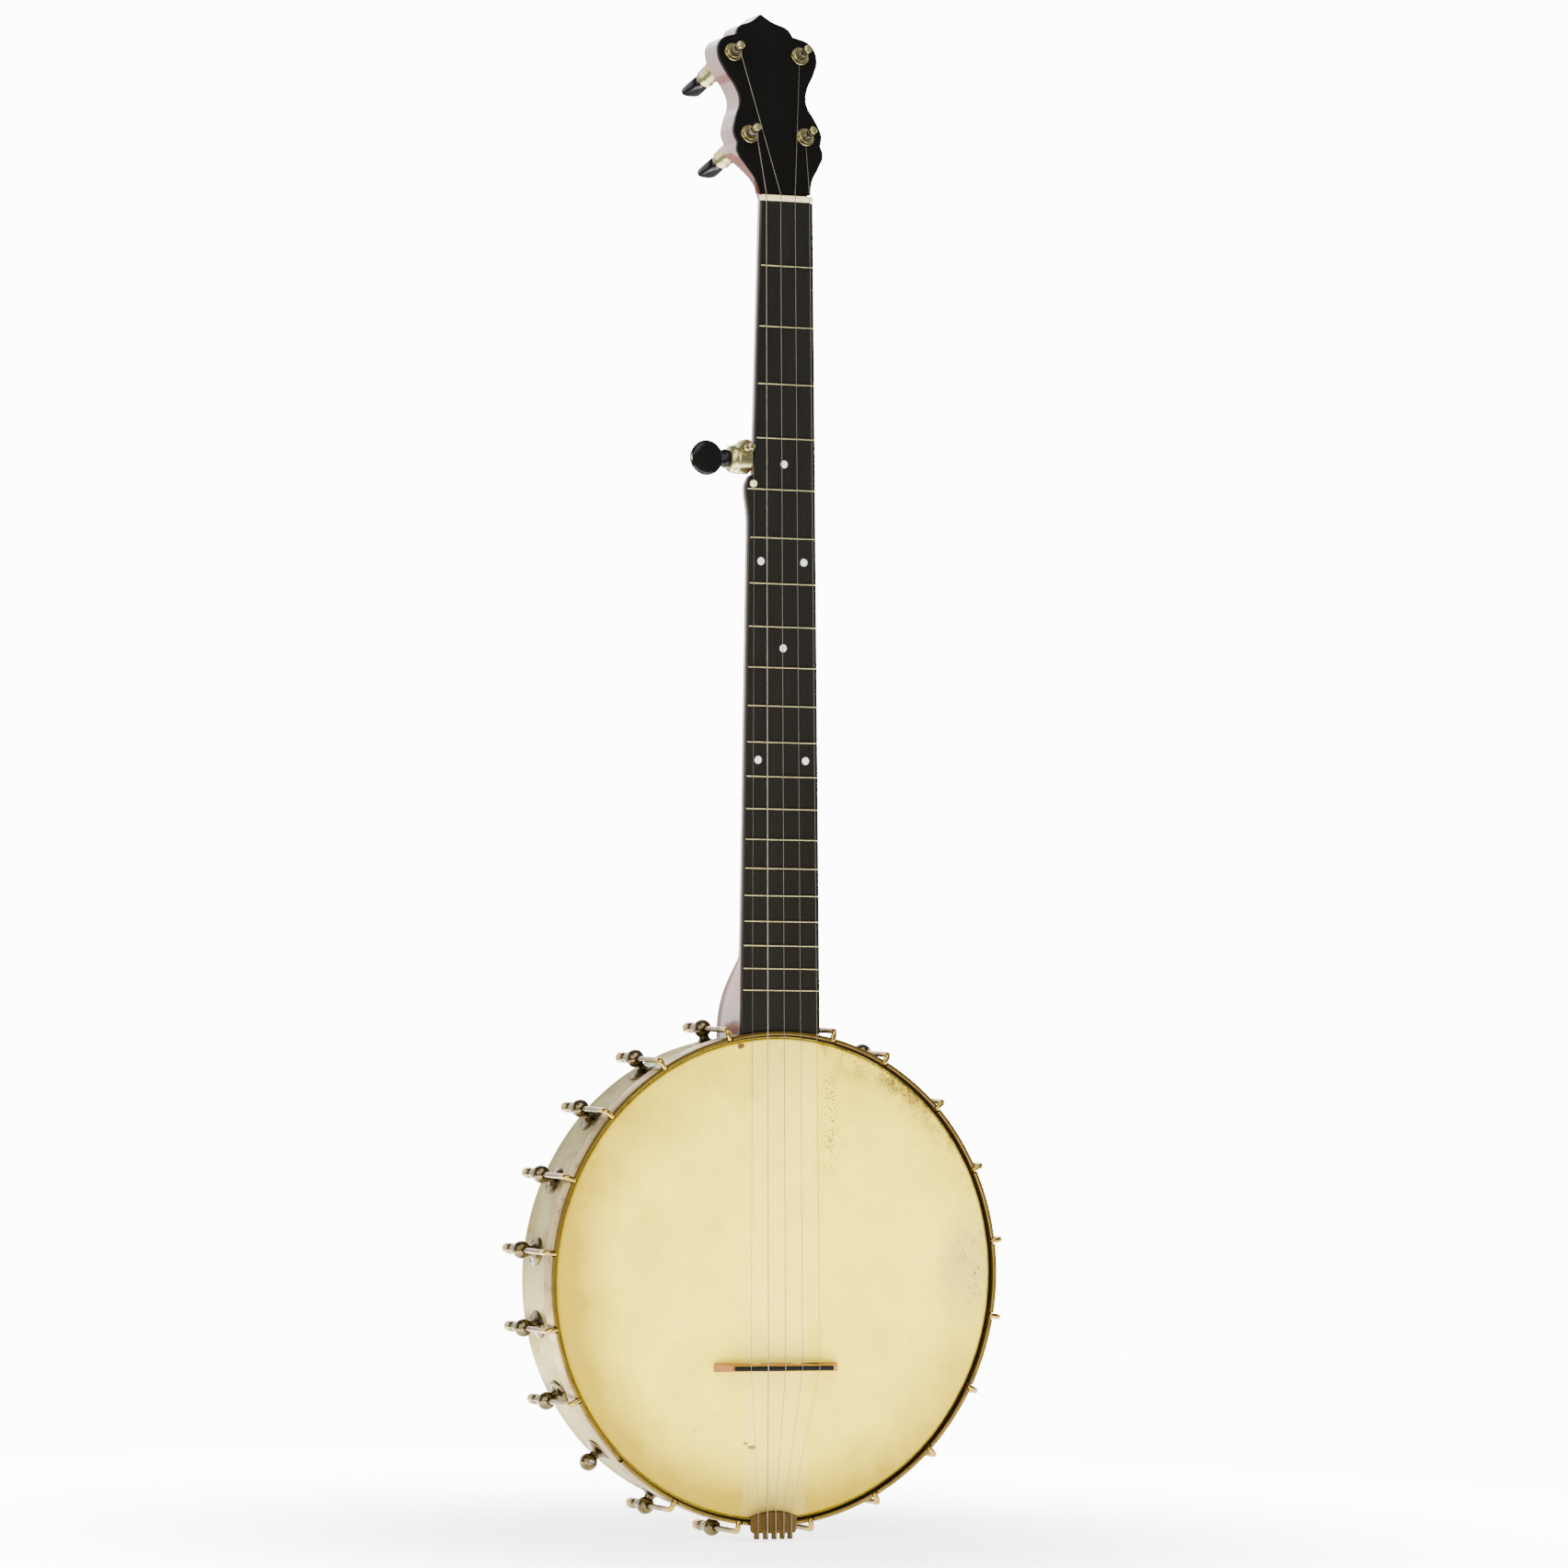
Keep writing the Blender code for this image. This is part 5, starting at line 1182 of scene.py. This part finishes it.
def add_frets(s):
    """One wire, drawn one unit long and copied at each fret's own length."""
    r, tang = s.fret_r, 0.0012
    wire = begin("fret")
    angles = [math.radians(15 * i) for i in range(1, 12)]
    crown = [(-r, tang), (-r, 0.0)] + [(-r * math.cos(a), -0.00085 * math.sin(a)) for a in angles]
    draw([(-0.5, y, z) for z, y in crown + [(r, 0.0), (r, tang)]], True)
    extrude((1.0, 0, 0))
    tidy()
    matrices = []
    for number in range(1, FRETS + 1):
        at = fret_distance(number)
        left, right = -left_edge(at) + 0.0004, right_edge(at) - 0.0004
        place = shift((left + right) / 2, 0.0, s.neck_l - at)
        matrices.append(neck_matrix() @ place @ Matrix.Diagonal((right - left, 1, 1, 1)))
    for piece in place_each(wire, [f"fret_{n:02d}" for n in range(1, FRETS + 1)], matrices):
        soften(piece, 0.00025, 60)
        dress(piece, fitting_nickel, "fingerboard")


def add_dots(s):
    r = s.dot_r
    profile = [(0, 0.00006), (r * 0.85, 0.00006), (r, 0.00002), (r, -0.0012), (0, -0.0012)]
    places = (
        (0.0010, 0.1539), (-0.0139, 0.2110), (0.0140, 0.2110),
        (0.0007, 0.2615), (-0.0154, 0.3270), (0.0154, 0.3270),
    )
    matrices = [neck_matrix() @ shift(x, 0.0, s.neck_l - at) @ Y_FORWARD for x, at in places]
    for piece in place_each(turned("dot", profile, 32), [f"dot_{n}" for n in range(1, 7)], matrices):
        dress(piece, pearl, "fingerboard")


def add_nut(s):
    rise = 0.0012
    height = s.board_t + rise
    size = (0.0186 + 0.0138 + 0.0006, height, NUT_T - 2 * GAP)
    nut = block("bone_nut", size, (0.0024, height / 2 - rise, s.neck_l + NUT_T / 2), 0.0006, 3)
    for index in range(4):
        radius = STRING_R[index] + 0.0001
        centre = (nut_string_x(index), -ACTION_NUT + radius - 0.001, s.neck_l)
        cut(nut, block("slot", (2 * radius, 0.002, 0.02), centre))
    settle(nut, neck_matrix())
    dress(nut, old_bone, "nut")


class BANJO_OT_stick(PieceOperator, bpy.types.Operator):
    """The dowel stick across the pot and the brace that holds it"""

    bl_idname = "banjo.stick"
    bl_label = "Dowel stick"

    def execute(self, context):
        s, y = sizes(), 0.0030
        wood_in = s.rim_r - s.shell_t - GAP - s.wood_t
        top, low = s.pot_z + wood_in - 0.0003, s.pot_z - wood_in + 0.0006
        stick = block("stick", (0.0240, 0.0180, top - low), (0, y, (top + low) / 2), 0.0016, 3)
        dress(stick, stick_maple, "dowel_stick")
        half = 0.0220
        top = s.pot_z + math.sqrt((wood_in - GAP) ** 2 - half**2) - 0.0004
        brace = block("brace", (2 * half, 0.0300, 0.0024), (0, y, top - 0.0012), 0.0006)
        cut(brace, block("hole", (0.0246, 0.0186, 0.02), (0, y, top)))
        profile = [(0, -0.0024), (0.0018, -0.0022), (0.0030, -0.0014), (0.0032, 0.0), (0, 0)]
        screw = turned("brace_screw", profile, 24)
        cut(screw, block("slot", (0.0008, 0.008, 0.0016), (0, 0, -0.0024)))
        places = [shift(x, y, top - 0.0024) for x in (-0.0172, 0.0172)]
        for piece in place_each(screw, ["brace_screw_l", "brace_screw_r"], places) + [brace]:
            dress(piece, fitting_nickel, "neck_brace")
        return {"FINISHED"}


# Tuners


def oval(half_x, half_y, z, count=32, power=2.0):
    points = [power_curve(2 * math.pi * i / count, power) for i in range(count)]
    return [(half_x * x, half_y * y, z) for x, y in points]


class BANJO_OT_tuners(PieceOperator, bpy.types.Operator):
    """Four planetary tuners: barrel, front nut, string post and button"""

    bl_idname = "banjo.tuners"
    bl_label = "Planetary tuners"

    def execute(self, context):
        s = sizes()
        back = OVERLAY_T + GAP + s.peg_wood + GAP
        end = back + s.barrel_l
        masters = (
            (tuner_housing(back, end), fitting_nickel, "tuner_housing", ""),
            (tuner_nut(), fitting_nickel, "tuner_nut", ""),
            # The string posts get the darker nickel as painted shade in their recess
            (tuner_post(), recess_shade_nickel, "tuner_post", "post"),
            (tuner_cap(), fitting_nickel, "tuner_post", "post"),
            (tuner_button(-end - GAP, s.button_l), gloss_button, "tuner_button", "button"),
        )
        matrices = [peg_matrix() @ shift(x, 0.0, z) @ Y_FORWARD for x, z in tuner_places()]
        for master, finish, node, body in masters:
            names = [f"{master.name}_{n}" for n in range(1, 5)]
            for n, piece in enumerate(place_each(master, names, matrices), start=1):
                dress(piece, finish, f"{node}_{n}", f"{body}_{n}" if body else "banjo", 32)
        return {"FINISHED"}


def tuner_housing(back, end):
    bore, stem, long = BORE_R, TUNER_STEM_R, end - back
    profile = [(bore, 0.0035), (0.0034, 0.0035), (0.0034, 0.0), (stem, 0.0), (stem, -back)]
    profile += [(0.0060, -back), (0.0060, -back - 0.0012), (0.0057, -back - 0.0016)]
    for share in (0.36, 0.60):
        profile += [(0.0057, -back - share * long), (0.0060, -back - (share + 0.02) * long)]
        profile += [(0.0060, -back - (share + 0.07) * long), (0.0056, -back - (share + 0.09) * long)]
    profile += [(0.0056, 0.0016 - end), (0.0058, 0.0012 - end), (0.0058, 0.0004 - end), (0.0055, -end)]
    profile += [(bore, -end), (bore, 0.0040 - end), (0.0, 0.0040 - end), (0.0, -0.0120), (bore, -0.0120)]
    return turned("housing", profile, 40, True)


def tuner_nut():
    inner = 0.0037
    profile = [(inner, 0.0003), (0.0056, 0.0003), (0.0056, 0.0010), (0.0054, 0.0013)]
    profile += [(0.0051, 0.0013), (0.0049, 0.0008), (0.0045, 0.0008), (0.0045, 0.0026)]
    profile += [(0.0042, 0.0029), (inner, 0.0029)]
    nut = turned("nut", profile, 40, True)
    return cut(nut, block("notch", (0.03, 0.0014, 0.0016), (0, 0, 0.0012)))


def tuner_post():
    waist, top = POST_WAIST_R, 0.0088
    profile = [(0.0, top), (waist - 0.0003, top), (waist - 0.0003, top - 0.0004)]
    profile += [(waist, top - 0.0008), (waist, 0.0045), (0.0022, 0.0040), (0.0024, 0.0038)]
    profile += [(0.0024, -0.0117), (0.0, -0.0117)]
    post = turned("post", profile, 32)
    return cut(post, rod("hole", 0.0006, (-0.01, 0, 0.0068), (0.01, 0, 0.0068), 16))


def tuner_cap():
    tip = 0.0125
    profile = [(0.0, tip)] + arc((0.0016, tip - 0.0008), 0.0008, 90, 0, 5)
    profile += [(0.0024, tip - 0.0030), (0.0022, tip - 0.0034)]
    profile += [(0.0016, tip - 0.0036), (0.0, tip - 0.0036)]
    return turned("post_cap", profile, 32)


def tuner_button(start, long):
    rows = (
        (0.0036, 0.0024, 0.0024), (0.0, 0.0024, 0.0024), (-0.0001, 0.0040, 0.0040),
        (-0.0004, 0.0044, 0.0044), (-0.0030, 0.0044, 0.0044), (-0.0034, 0.0041, 0.0041),
        (-0.0040, 0.0041, 0.0041), (-0.0046, 0.0046, 0.0042), (-0.0070, 0.0052, 0.0041),
        (-0.0110, 0.0058, 0.0038), (-0.0150, 0.0062, 0.0035), (-0.0190, 0.0064, 0.0032),
        (-0.0208, 0.0062, 0.0030), (-0.0217, 0.0057, 0.0026), (-long, 0.0048, 0.0018),
    )
    return lofted("button", [
        oval(half_x, half_y, start + z, 32, 2.0 + min(0.5, max(0.0, -z * 60)))
        for z, half_x, half_y in rows
    ])


def fifth_matrix():
    """Local Z runs out of the neck's left side."""
    place = shift(-left_edge(FIFTH_PEG_S), FIFTH_PEG_Y, sizes().neck_l - FIFTH_PEG_S)
    return neck_matrix() @ place @ Matrix.Rotation(math.radians(-90), 4, "Y")


def fifth_post_place():
    x = -left_edge(FIFTH_PEG_S) - FIFTH_L * 0.42
    return x, sizes().neck_l - FIFTH_PEG_S + 0.0062


class BANJO_OT_fifth_peg(PieceOperator, bpy.types.Operator):
    """The geared fifth peg: barrel, post and disc button"""

    bl_idname = "banjo.fifth_peg"
    bl_label = "Fifth peg"

    def execute(self, context):
        r, seat, bore, end = FIFTH_R, GAP, BORE_R, GAP + FIFTH_L
        profile = [(0.0, -0.009), (0.0040, -0.009), (0.0040, seat), (r - 0.0006, seat), (r, seat + 0.0006)]
        for inset, share in (
            (0, 0.62), (0.0003, 0.66), (0.0006, 0.69), (0.0006, 0.80), (0.0012, 0.90), (0.0021, 0.97),
        ):
            profile.append((r - inset, seat + FIFTH_L * share))
        profile += [(r - 0.0030, end), (bore, end), (bore, end - 0.0040), (0.0, end - 0.0040)]
        housing = settle(turned("fifth_barrel", profile, 48), fifth_matrix())
        x, z = fifth_post_place()
        boss = settle(rod("boss", 0.0048, (x, 0.006, z), (x, FIFTH_BOSS_Y, z), 32, 0.0004), neck_matrix())
        combine(housing, [boss], "UNION")
        cut(housing, settle(rod("well", bore, (x, 0.005, z), (x, -0.02, z), 32), neck_matrix()))
        dress(housing, fitting_nickel, "fifth_peg_housing")
        low, top, waist = -FIFTH_BOSS_Y, 0.0075 - FIFTH_BOSS_Y, FIFTH_WAIST_R
        profile = [(0.0, top)] + arc((0.0012, top - 0.0008), 0.0008, 90, 0, 5)
        profile += [(0.0020, top - 0.0018), (waist, top - 0.0026), (waist, low + 0.0022)]
        profile += [(0.0022, low + 0.0016), (0.0024, low + 0.0012), (0.0024, -0.0047), (0.0, -0.0047)]
        post = turned("fifth_post_piece", profile, 32)
        settle(post, neck_matrix() @ shift(x, 0.0, z) @ Y_FORWARD)
        dress(post, fitting_nickel, "fifth_peg_post", "fifth_post")
        add_fifth_button(end + GAP)
        return {"FINISHED"}


def add_fifth_button(start):
    neck_end, reach, disc_r = start + 0.0042, 0.0206, 0.0103
    rows = [(start - 0.0036, 0.0024, 0.0024), (start, 0.0024, 0.0024), (start + 0.0001, 0.0050, 0.0050)]
    rows += [(start + 0.0006, 0.0054, 0.0053), (start + 0.0018, 0.0056, 0.0053)]
    rows += [(start + 0.0026, 0.0054, 0.0048), (neck_end, 0.0046, 0.0030)]
    for share in (0.08, 0.14, 0.22, 0.32, 0.44, 0.56, 0.68, 0.78, 0.87, 0.94, 0.975):
        half = disc_r * math.sqrt(1.0 - (2 * share - 1.0) ** 2)
        tip = neck_end + reach * share - 0.0012
        rows.append((tip, half, 0.0030 * (0.62 + 0.38 * half / disc_r)))
    button = lofted("fifth_disc", [oval(x, y, z, 36) for z, x, y in rows])
    settle(button, fifth_matrix())
    dress(button, gloss_button, "fifth_peg_button", "fifth_button", 40)
    profile = [(0, tip + 0.0004), (0.0011, tip + 0.0003), (0.0015, tip - 0.0001)]
    screw = turned("fifth_screw", profile + [(0.0015, tip - 0.0012), (0, tip - 0.0012)], 24)
    settle(screw, fifth_matrix())
    dress(screw, fitting_nickel, "fifth_peg_button", "fifth_button")


# Bridge, tailpiece and strings

TAIL_TOP, TAIL_FOOT, TAIL_HALF, TAIL_T = 0.1345, 0.1478, 0.0150, 0.0011
FINGER_R, FINGER_L = 0.0017, 0.0036
BOLT_Y = 0.0030


def bridge_line():
    """The strings' rest on the bridge."""
    s = sizes()
    return neck_matrix() @ Vector((0.0, -ACTION_BRIDGE, s.neck_l - s.scale_l - 0.0077))


def bridge_string_x(index):
    return BRIDGE_X + 0.0111 * (2 - index)


def tail_plate_y(x, z):
    """Front face depth of the domed plate; z is measured down from the pot's centre."""
    share = (z - TAIL_TOP) / (TAIL_FOOT - TAIL_TOP)
    rise = 0.0022 * (1.0 - (x / TAIL_HALF) ** 2) * (1.0 - 0.35 * (1.0 - share))
    return hoop_front() - 0.0005 - GAP - TAIL_T - rise


def finger_x(index):
    return 0.0054 * (2 - index)


def finger_y(index):
    return tail_plate_y(finger_x(index), TAIL_FOOT) + FINGER_R * 0.9


class BANJO_OT_bridge(PieceOperator, bpy.types.Operator):
    """The bridge: three feet, two arches and a black cap"""

    bl_idname = "banjo.bridge"
    bl_label = "Bridge"

    def execute(self, context):
        rest, skin = bridge_line(), head_front()
        cap_h, foot_t, top_t = 0.0024, 0.0050, 0.0028
        top = skin - rest.y - 2 * GAP - cap_h
        half, top_half, foot, arch = 0.0395, 0.0316, GAP, 0.0036
        outline = [(-half, foot)]
        for centre in (-0.0131, 0.0131):
            outline.append((centre - arch, foot))
            for a in (math.radians(angle) for angle in range(165, 0, -15)):
                outline.append((centre + arch * math.cos(a), foot + 0.0062 * math.sin(a)))
            outline.append((centre + arch, foot))
        outline += [(half, foot), (half, foot + 0.0024), (top_half + 0.0014, top)]
        outline += [(-top_half - 0.0014, top), (-half, foot + 0.0024)]
        base = plate("bridge", cornered(outline), foot_t, 0.0003)
        slope = math.atan2((foot_t - top_t) / 2, top - foot)
        mode("EDIT")
        for side in (-1, 1):
            select_all()
            bpy.ops.mesh.bisect(
                plane_co=(0, foot, side * foot_t / 2), use_fill=True, clear_outer=True,
                plane_no=(0, math.sin(slope), side * math.cos(slope)),
            )
        mode("OBJECT")
        settle(base, shift(BRIDGE_X, skin, rest.z) @ UPSIDE_DOWN)
        dress(base, bridge_maple, "bridge_base")
        centre = (BRIDGE_X, skin - top - GAP - cap_h / 2, rest.z)
        cap = block("bridge_top", (2 * top_half, cap_h, top_t), centre, 0.0005, 3)
        for index in range(5):
            width = 2 * STRING_R[index] + 0.0001
            cut(cap, block("slot", (width, width, 0.02), (bridge_string_x(index), rest.y, rest.z)))
        dress(cap, cap_ebony, "bridge_cap")
        return {"FINISHED"}


class BANJO_OT_tailpiece(PieceOperator, bpy.types.Operator):
    """The domed tailpiece with its fingers and strap, and the end bolt"""

    bl_idname = "banjo.tailpiece"
    bl_label = "Tailpiece"

    def execute(self, context):
        s = sizes()
        tail, strap = tail_plate(s), tail_strap(s)
        dress(tail, brown_plate, "tailpiece")
        dress(strap, brown_plate, "tailpiece")
        foot, bore = -FINGER_L - 0.0008, 0.0009
        profile = [(bore, 0.0), (FINGER_R, 0.0), (FINGER_R, foot + 0.0005)]
        finger = turned("finger", profile + [(FINGER_R - 0.0005, foot), (bore, foot)], 24, True)
        cut(finger, block("slit", (0.0009, 0.0030, 0.0030), (0.0, -FINGER_R, foot + 0.0012)))
        low = s.pot_z - TAIL_FOOT + 0.0008
        spots = [shift(finger_x(i), finger_y(i), low) for i in range(5)]
        for piece in place_each(finger, [f"finger_{i + 1}" for i in range(5)], spots):
            soften(piece, 0.0002, 50)
            dress(piece, brown_plate, "tailpiece")
        out = s.rim_r + 2 * GAP + 0.0014
        profile = [(0.0, out + 0.0042), (0.0018, out + 0.0041), (0.0034, out + 0.0034)]
        profile += [(0.0046, out + 0.0019), (0.0046, out + 0.0003), (0.0043, out)]
        profile += [(0.0024, out), (0.0024, out - 0.004), (0, out - 0.004)]
        bolt = turned("bolt", profile, 36)
        settle(bolt, shift(0.0, BOLT_Y, s.pot_z) @ UPSIDE_DOWN)
        dress(bolt, fitting_nickel, "end_bolt")
        return {"FINISHED"}


def tail_plate(s):
    sections = []
    for row in range(9):
        share = row / 8
        front, rear = [], []
        for i in range(21):
            x = TAIL_HALF * (2 * i / 20 - 1) * (1.0 - 0.09 * max(0.0, share * 4 - 3) ** 2)
            top = TAIL_TOP + 0.0034 * (x / TAIL_HALF) ** 2
            z = top + (TAIL_FOOT - top) * share
            y = tail_plate_y(x, z)
            front.append((x, y, s.pot_z - z))
            rear.append((x, y + TAIL_T, s.pot_z - z))
        sections.append(front + rear[::-1])
    return soften(lofted("tail_plate", sections), 0.0003, 50)


def tail_strap(s):
    """A bent strip seen from the side as (y, z), given its width along X."""
    t, front = 0.0014, tail_plate_y(0.0, TAIL_FOOT) + 0.00055
    out, seat = s.pot_z - (s.hoop_r + GAP), s.pot_z - s.rim_r - GAP
    back, bend = BOLT_Y + 0.0060, hoop_front() + s.hoop_depth + 0.0016
    outline = [
        (front, out), (bend, out), (bend + 0.0040, seat), (back, seat), (back, seat - t),
        (bend + 0.0046, seat - t), (bend + 0.0006, out - t), (front, out - t),
    ]
    strap = settle(plate("strap", cornered(outline), 0.0110), z_to_x())
    cut(strap, rod("hole", 0.0027, (0, BOLT_Y, seat + 0.002), (0, BOLT_Y, seat - 0.006)))
    return soften(strap, 0.0003, 50)


class BANJO_OT_strings(PieceOperator, bpy.types.Operator):
    """Five strings from their posts over nut, pip and bridge to the tailpiece"""

    bl_idname = "banjo.strings"
    bl_label = "Strings"

    def execute(self, context):
        for index, radius in enumerate(STRING_R):
            string = tube(f"wire_{index + 1}", string_path(index), radius)
            dress(string, wound_wire if index == 3 else wire_steel, f"string_{index + 1}")
        return {"FINISHED"}


def wrap(centre, radius, low, high, side, way):
    """A coil round a post: it leaves at the angle side, at the depth low."""
    turns, count, points = 3.2, 64, []
    for i in range(count + 1):
        share = i / count
        a = math.radians(side + way * 360.0 * turns * (1.0 - share))
        x, z = centre[0] + radius * math.cos(a), centre[1] + radius * math.sin(a)
        points.append(Vector((x, high + (low - high) * share, z)))
    return points


def string_path(index):
    s = sizes()
    radius, neck, rest, x = STRING_R[index], neck_matrix(), bridge_line(), finger_x(index)
    if index < 4:
        place = tuner_places()[index]
        leave = math.degrees(math.atan2(-place[1], nut_string_x(index) - 0.0028 - place[0]))
        way = -1.0 if place[0] > 0 else 1.0
        low = -0.0049
        high = low - 2.15 * radius * 3 - 0.0006
        coil = wrap(place, POST_WAIST_R + GAP + radius, low, high, leave + way * 90.0, way)
        points = [peg_matrix() @ p for p in coil]
        for z in (s.neck_l + NUT_T + 0.0002, s.neck_l - 0.0002):
            points.append(neck @ Vector((nut_string_x(index), -ACTION_NUT, z)))
    else:
        place = fifth_post_place()
        leave = math.degrees(math.atan2(pip_z() - place[1], PIP_X - place[0]))
        height = FIFTH_BOSS_Y - 0.0030
        turn_r = FIFTH_WAIST_R + GAP + radius
        coil = wrap(place, turn_r, height + 0.0008, height - 0.0009, leave + 90.0, 1.0)
        points = [neck @ p for p in coil + [Vector((PIP_X, -ACTION_NUT, pip_z()))]]
    foot, front = s.pot_z - TAIL_FOOT, finger_y(index) - FINGER_R - radius - GAP
    return points + [Vector(point) for point in (
        (bridge_string_x(index), rest.y, rest.z),
        (x, tail_plate_y(x, TAIL_TOP) - radius - 2 * GAP, s.pot_z - TAIL_TOP),
        (x, front, foot + 0.0018), (x, front, foot - FINGER_L * 0.6),
    )]


# The stage

CAMERA_PLACE = (-2.1931, -4.4893, 0.4090)
CAMERA_ANGLES = (26.161, 0.365, 1.158)
FOCAL_PX, FRAME_PX, SENSOR_MM = 9277, 1704, 36.0
AIM = Vector((0.0, 0.0, 0.45))
FLOOR_R, FLOOR_GLOW = 0.7, 12.0

# Strength of the air as the object sees it, and as the camera does
AIR_LIGHT, AIR_WHITE = 0.42, 13.0
LIGHTS = (
    ("key_light", (-3.1, -1.9, 1.5), 130.0, 3.0), ("top_light", (-0.5, -2.2, 3.2), 110.0, 2.6),
    ("side_light", (3.2, -0.6, 1.2), 60.0, 1.6), ("back_light", (0.6, 2.8, 2.2), 90.0, 2.4),
    ("far_left_light", (-1.9, 3.1, 0.9), 95.0, 3.0), ("near_light", (-1.9, -4.6, 2.4), 60.0, 1.0),
)


class BANJO_OT_studio(PieceOperator, bpy.types.Operator):
    """A pale floor, soft studio light and the photo's camera"""

    bl_idname = "banjo.studio"
    bl_label = "Studio"

    def execute(self, context):
        clear_selection()
        place = (0, 0, -0.0002)
        bpy.ops.mesh.primitive_circle_add(vertices=96, radius=FLOOR_R, location=place, fill_type="NGON")
        floor = settle(named("floor"))
        floor.data.materials.append(finish_of(pale_floor))
        for name, place, power, size in LIGHTS:
            clear_selection()
            bpy.ops.object.light_add(type="AREA", location=place)
            lamp = bpy.context.object
            lamp.name = name
            lamp.data.energy, lamp.data.size = power, size
            lamp.rotation_euler = (AIM - Vector(place)).to_track_quat("-Z", "Y").to_euler()
        world = context.scene.world = bpy.data.worlds.new("studio_air")
        world.use_nodes = True
        nodes, links = world.node_tree.nodes, world.node_tree.links
        soft, white = nodes["Background"], nodes.new("ShaderNodeBackground")
        for sky, strength in ((soft, AIR_LIGHT), (white, AIR_WHITE)):
            sky.inputs["Color"].default_value = (1.0, 1.0, 1.0, 1.0)
            sky.inputs["Strength"].default_value = strength
        ray, both = nodes.new("ShaderNodeLightPath"), nodes.new("ShaderNodeMixShader")
        for index, output in enumerate((ray.outputs["Is Camera Ray"], soft.outputs[0], white.outputs[0])):
            links.new(output, both.inputs[index])
        links.new(both.outputs[0], nodes["World Output"].inputs["Surface"])
        add_camera(context)
        return {"FINISHED"}


def add_camera(context):
    bpy.ops.object.camera_add(location=CAMERA_PLACE)
    camera = bpy.context.object
    camera.name = "photo_camera"
    camera.data.sensor_width = SENSOR_MM
    camera.data.lens = FOCAL_PX / FRAME_PX * SENSOR_MM
    camera.data.clip_start = 0.1
    yaw, pitch, roll = (math.radians(a) for a in CAMERA_ANGLES)
    ahead = Vector((math.sin(yaw) * math.cos(pitch), math.cos(yaw) * math.cos(pitch), math.sin(pitch)))
    right = Vector((math.cos(yaw), -math.sin(yaw), 0.0))
    axes = Matrix((right, right.cross(ahead), -ahead)).transposed().to_4x4()
    place = Matrix.Translation(camera.location)
    camera.matrix_world = place @ axes @ Matrix.Rotation(roll, 4, "Z")
    context.scene.camera = camera


class BANJO_PT_panel(bpy.types.Panel):
    """Sizes, colours and the steps of the banjo"""

    bl_idname = "BANJO_PT_panel"
    bl_label = "Open-back banjo"
    bl_space_type = "VIEW_3D"
    bl_region_type = "UI"
    bl_category = "Banjo"

    def draw(self, context):
        layout = self.layout
        for step in STEPS:
            layout.operator(step.bl_idname)
        for title, group in (("Sizes", sizes()), ("Colours", colours())):
            box = layout.box()
            box.label(text=title)
            for name in group.__annotations__:
                box.prop(group, name)


STEPS = (
    BANJO_OT_rim, BANJO_OT_head, BANJO_OT_hoop, BANJO_OT_neck, BANJO_OT_fingerboard,
    BANJO_OT_stick, BANJO_OT_tuners, BANJO_OT_fifth_peg, BANJO_OT_bridge,
    BANJO_OT_tailpiece, BANJO_OT_strings, BANJO_OT_studio,
)
CLASSES = (BanjoSizes, BanjoColours, *STEPS, BANJO_PT_panel)


def register():
    for cls in CLASSES:
        bpy.utils.register_class(cls)
    bpy.types.Scene.banjo_sizes = PointerProperty(type=BanjoSizes)
    bpy.types.Scene.banjo_colours = PointerProperty(type=BanjoColours)


def unregister():
    del bpy.types.Scene.banjo_colours
    del bpy.types.Scene.banjo_sizes
    for cls in reversed(CLASSES):
        bpy.utils.unregister_class(cls)


def main():
    register()
    for step in STEPS:
        group, name = step.bl_idname.split(".")
        getattr(getattr(bpy.ops, group), name)()


if __name__ == "__main__":
    main()
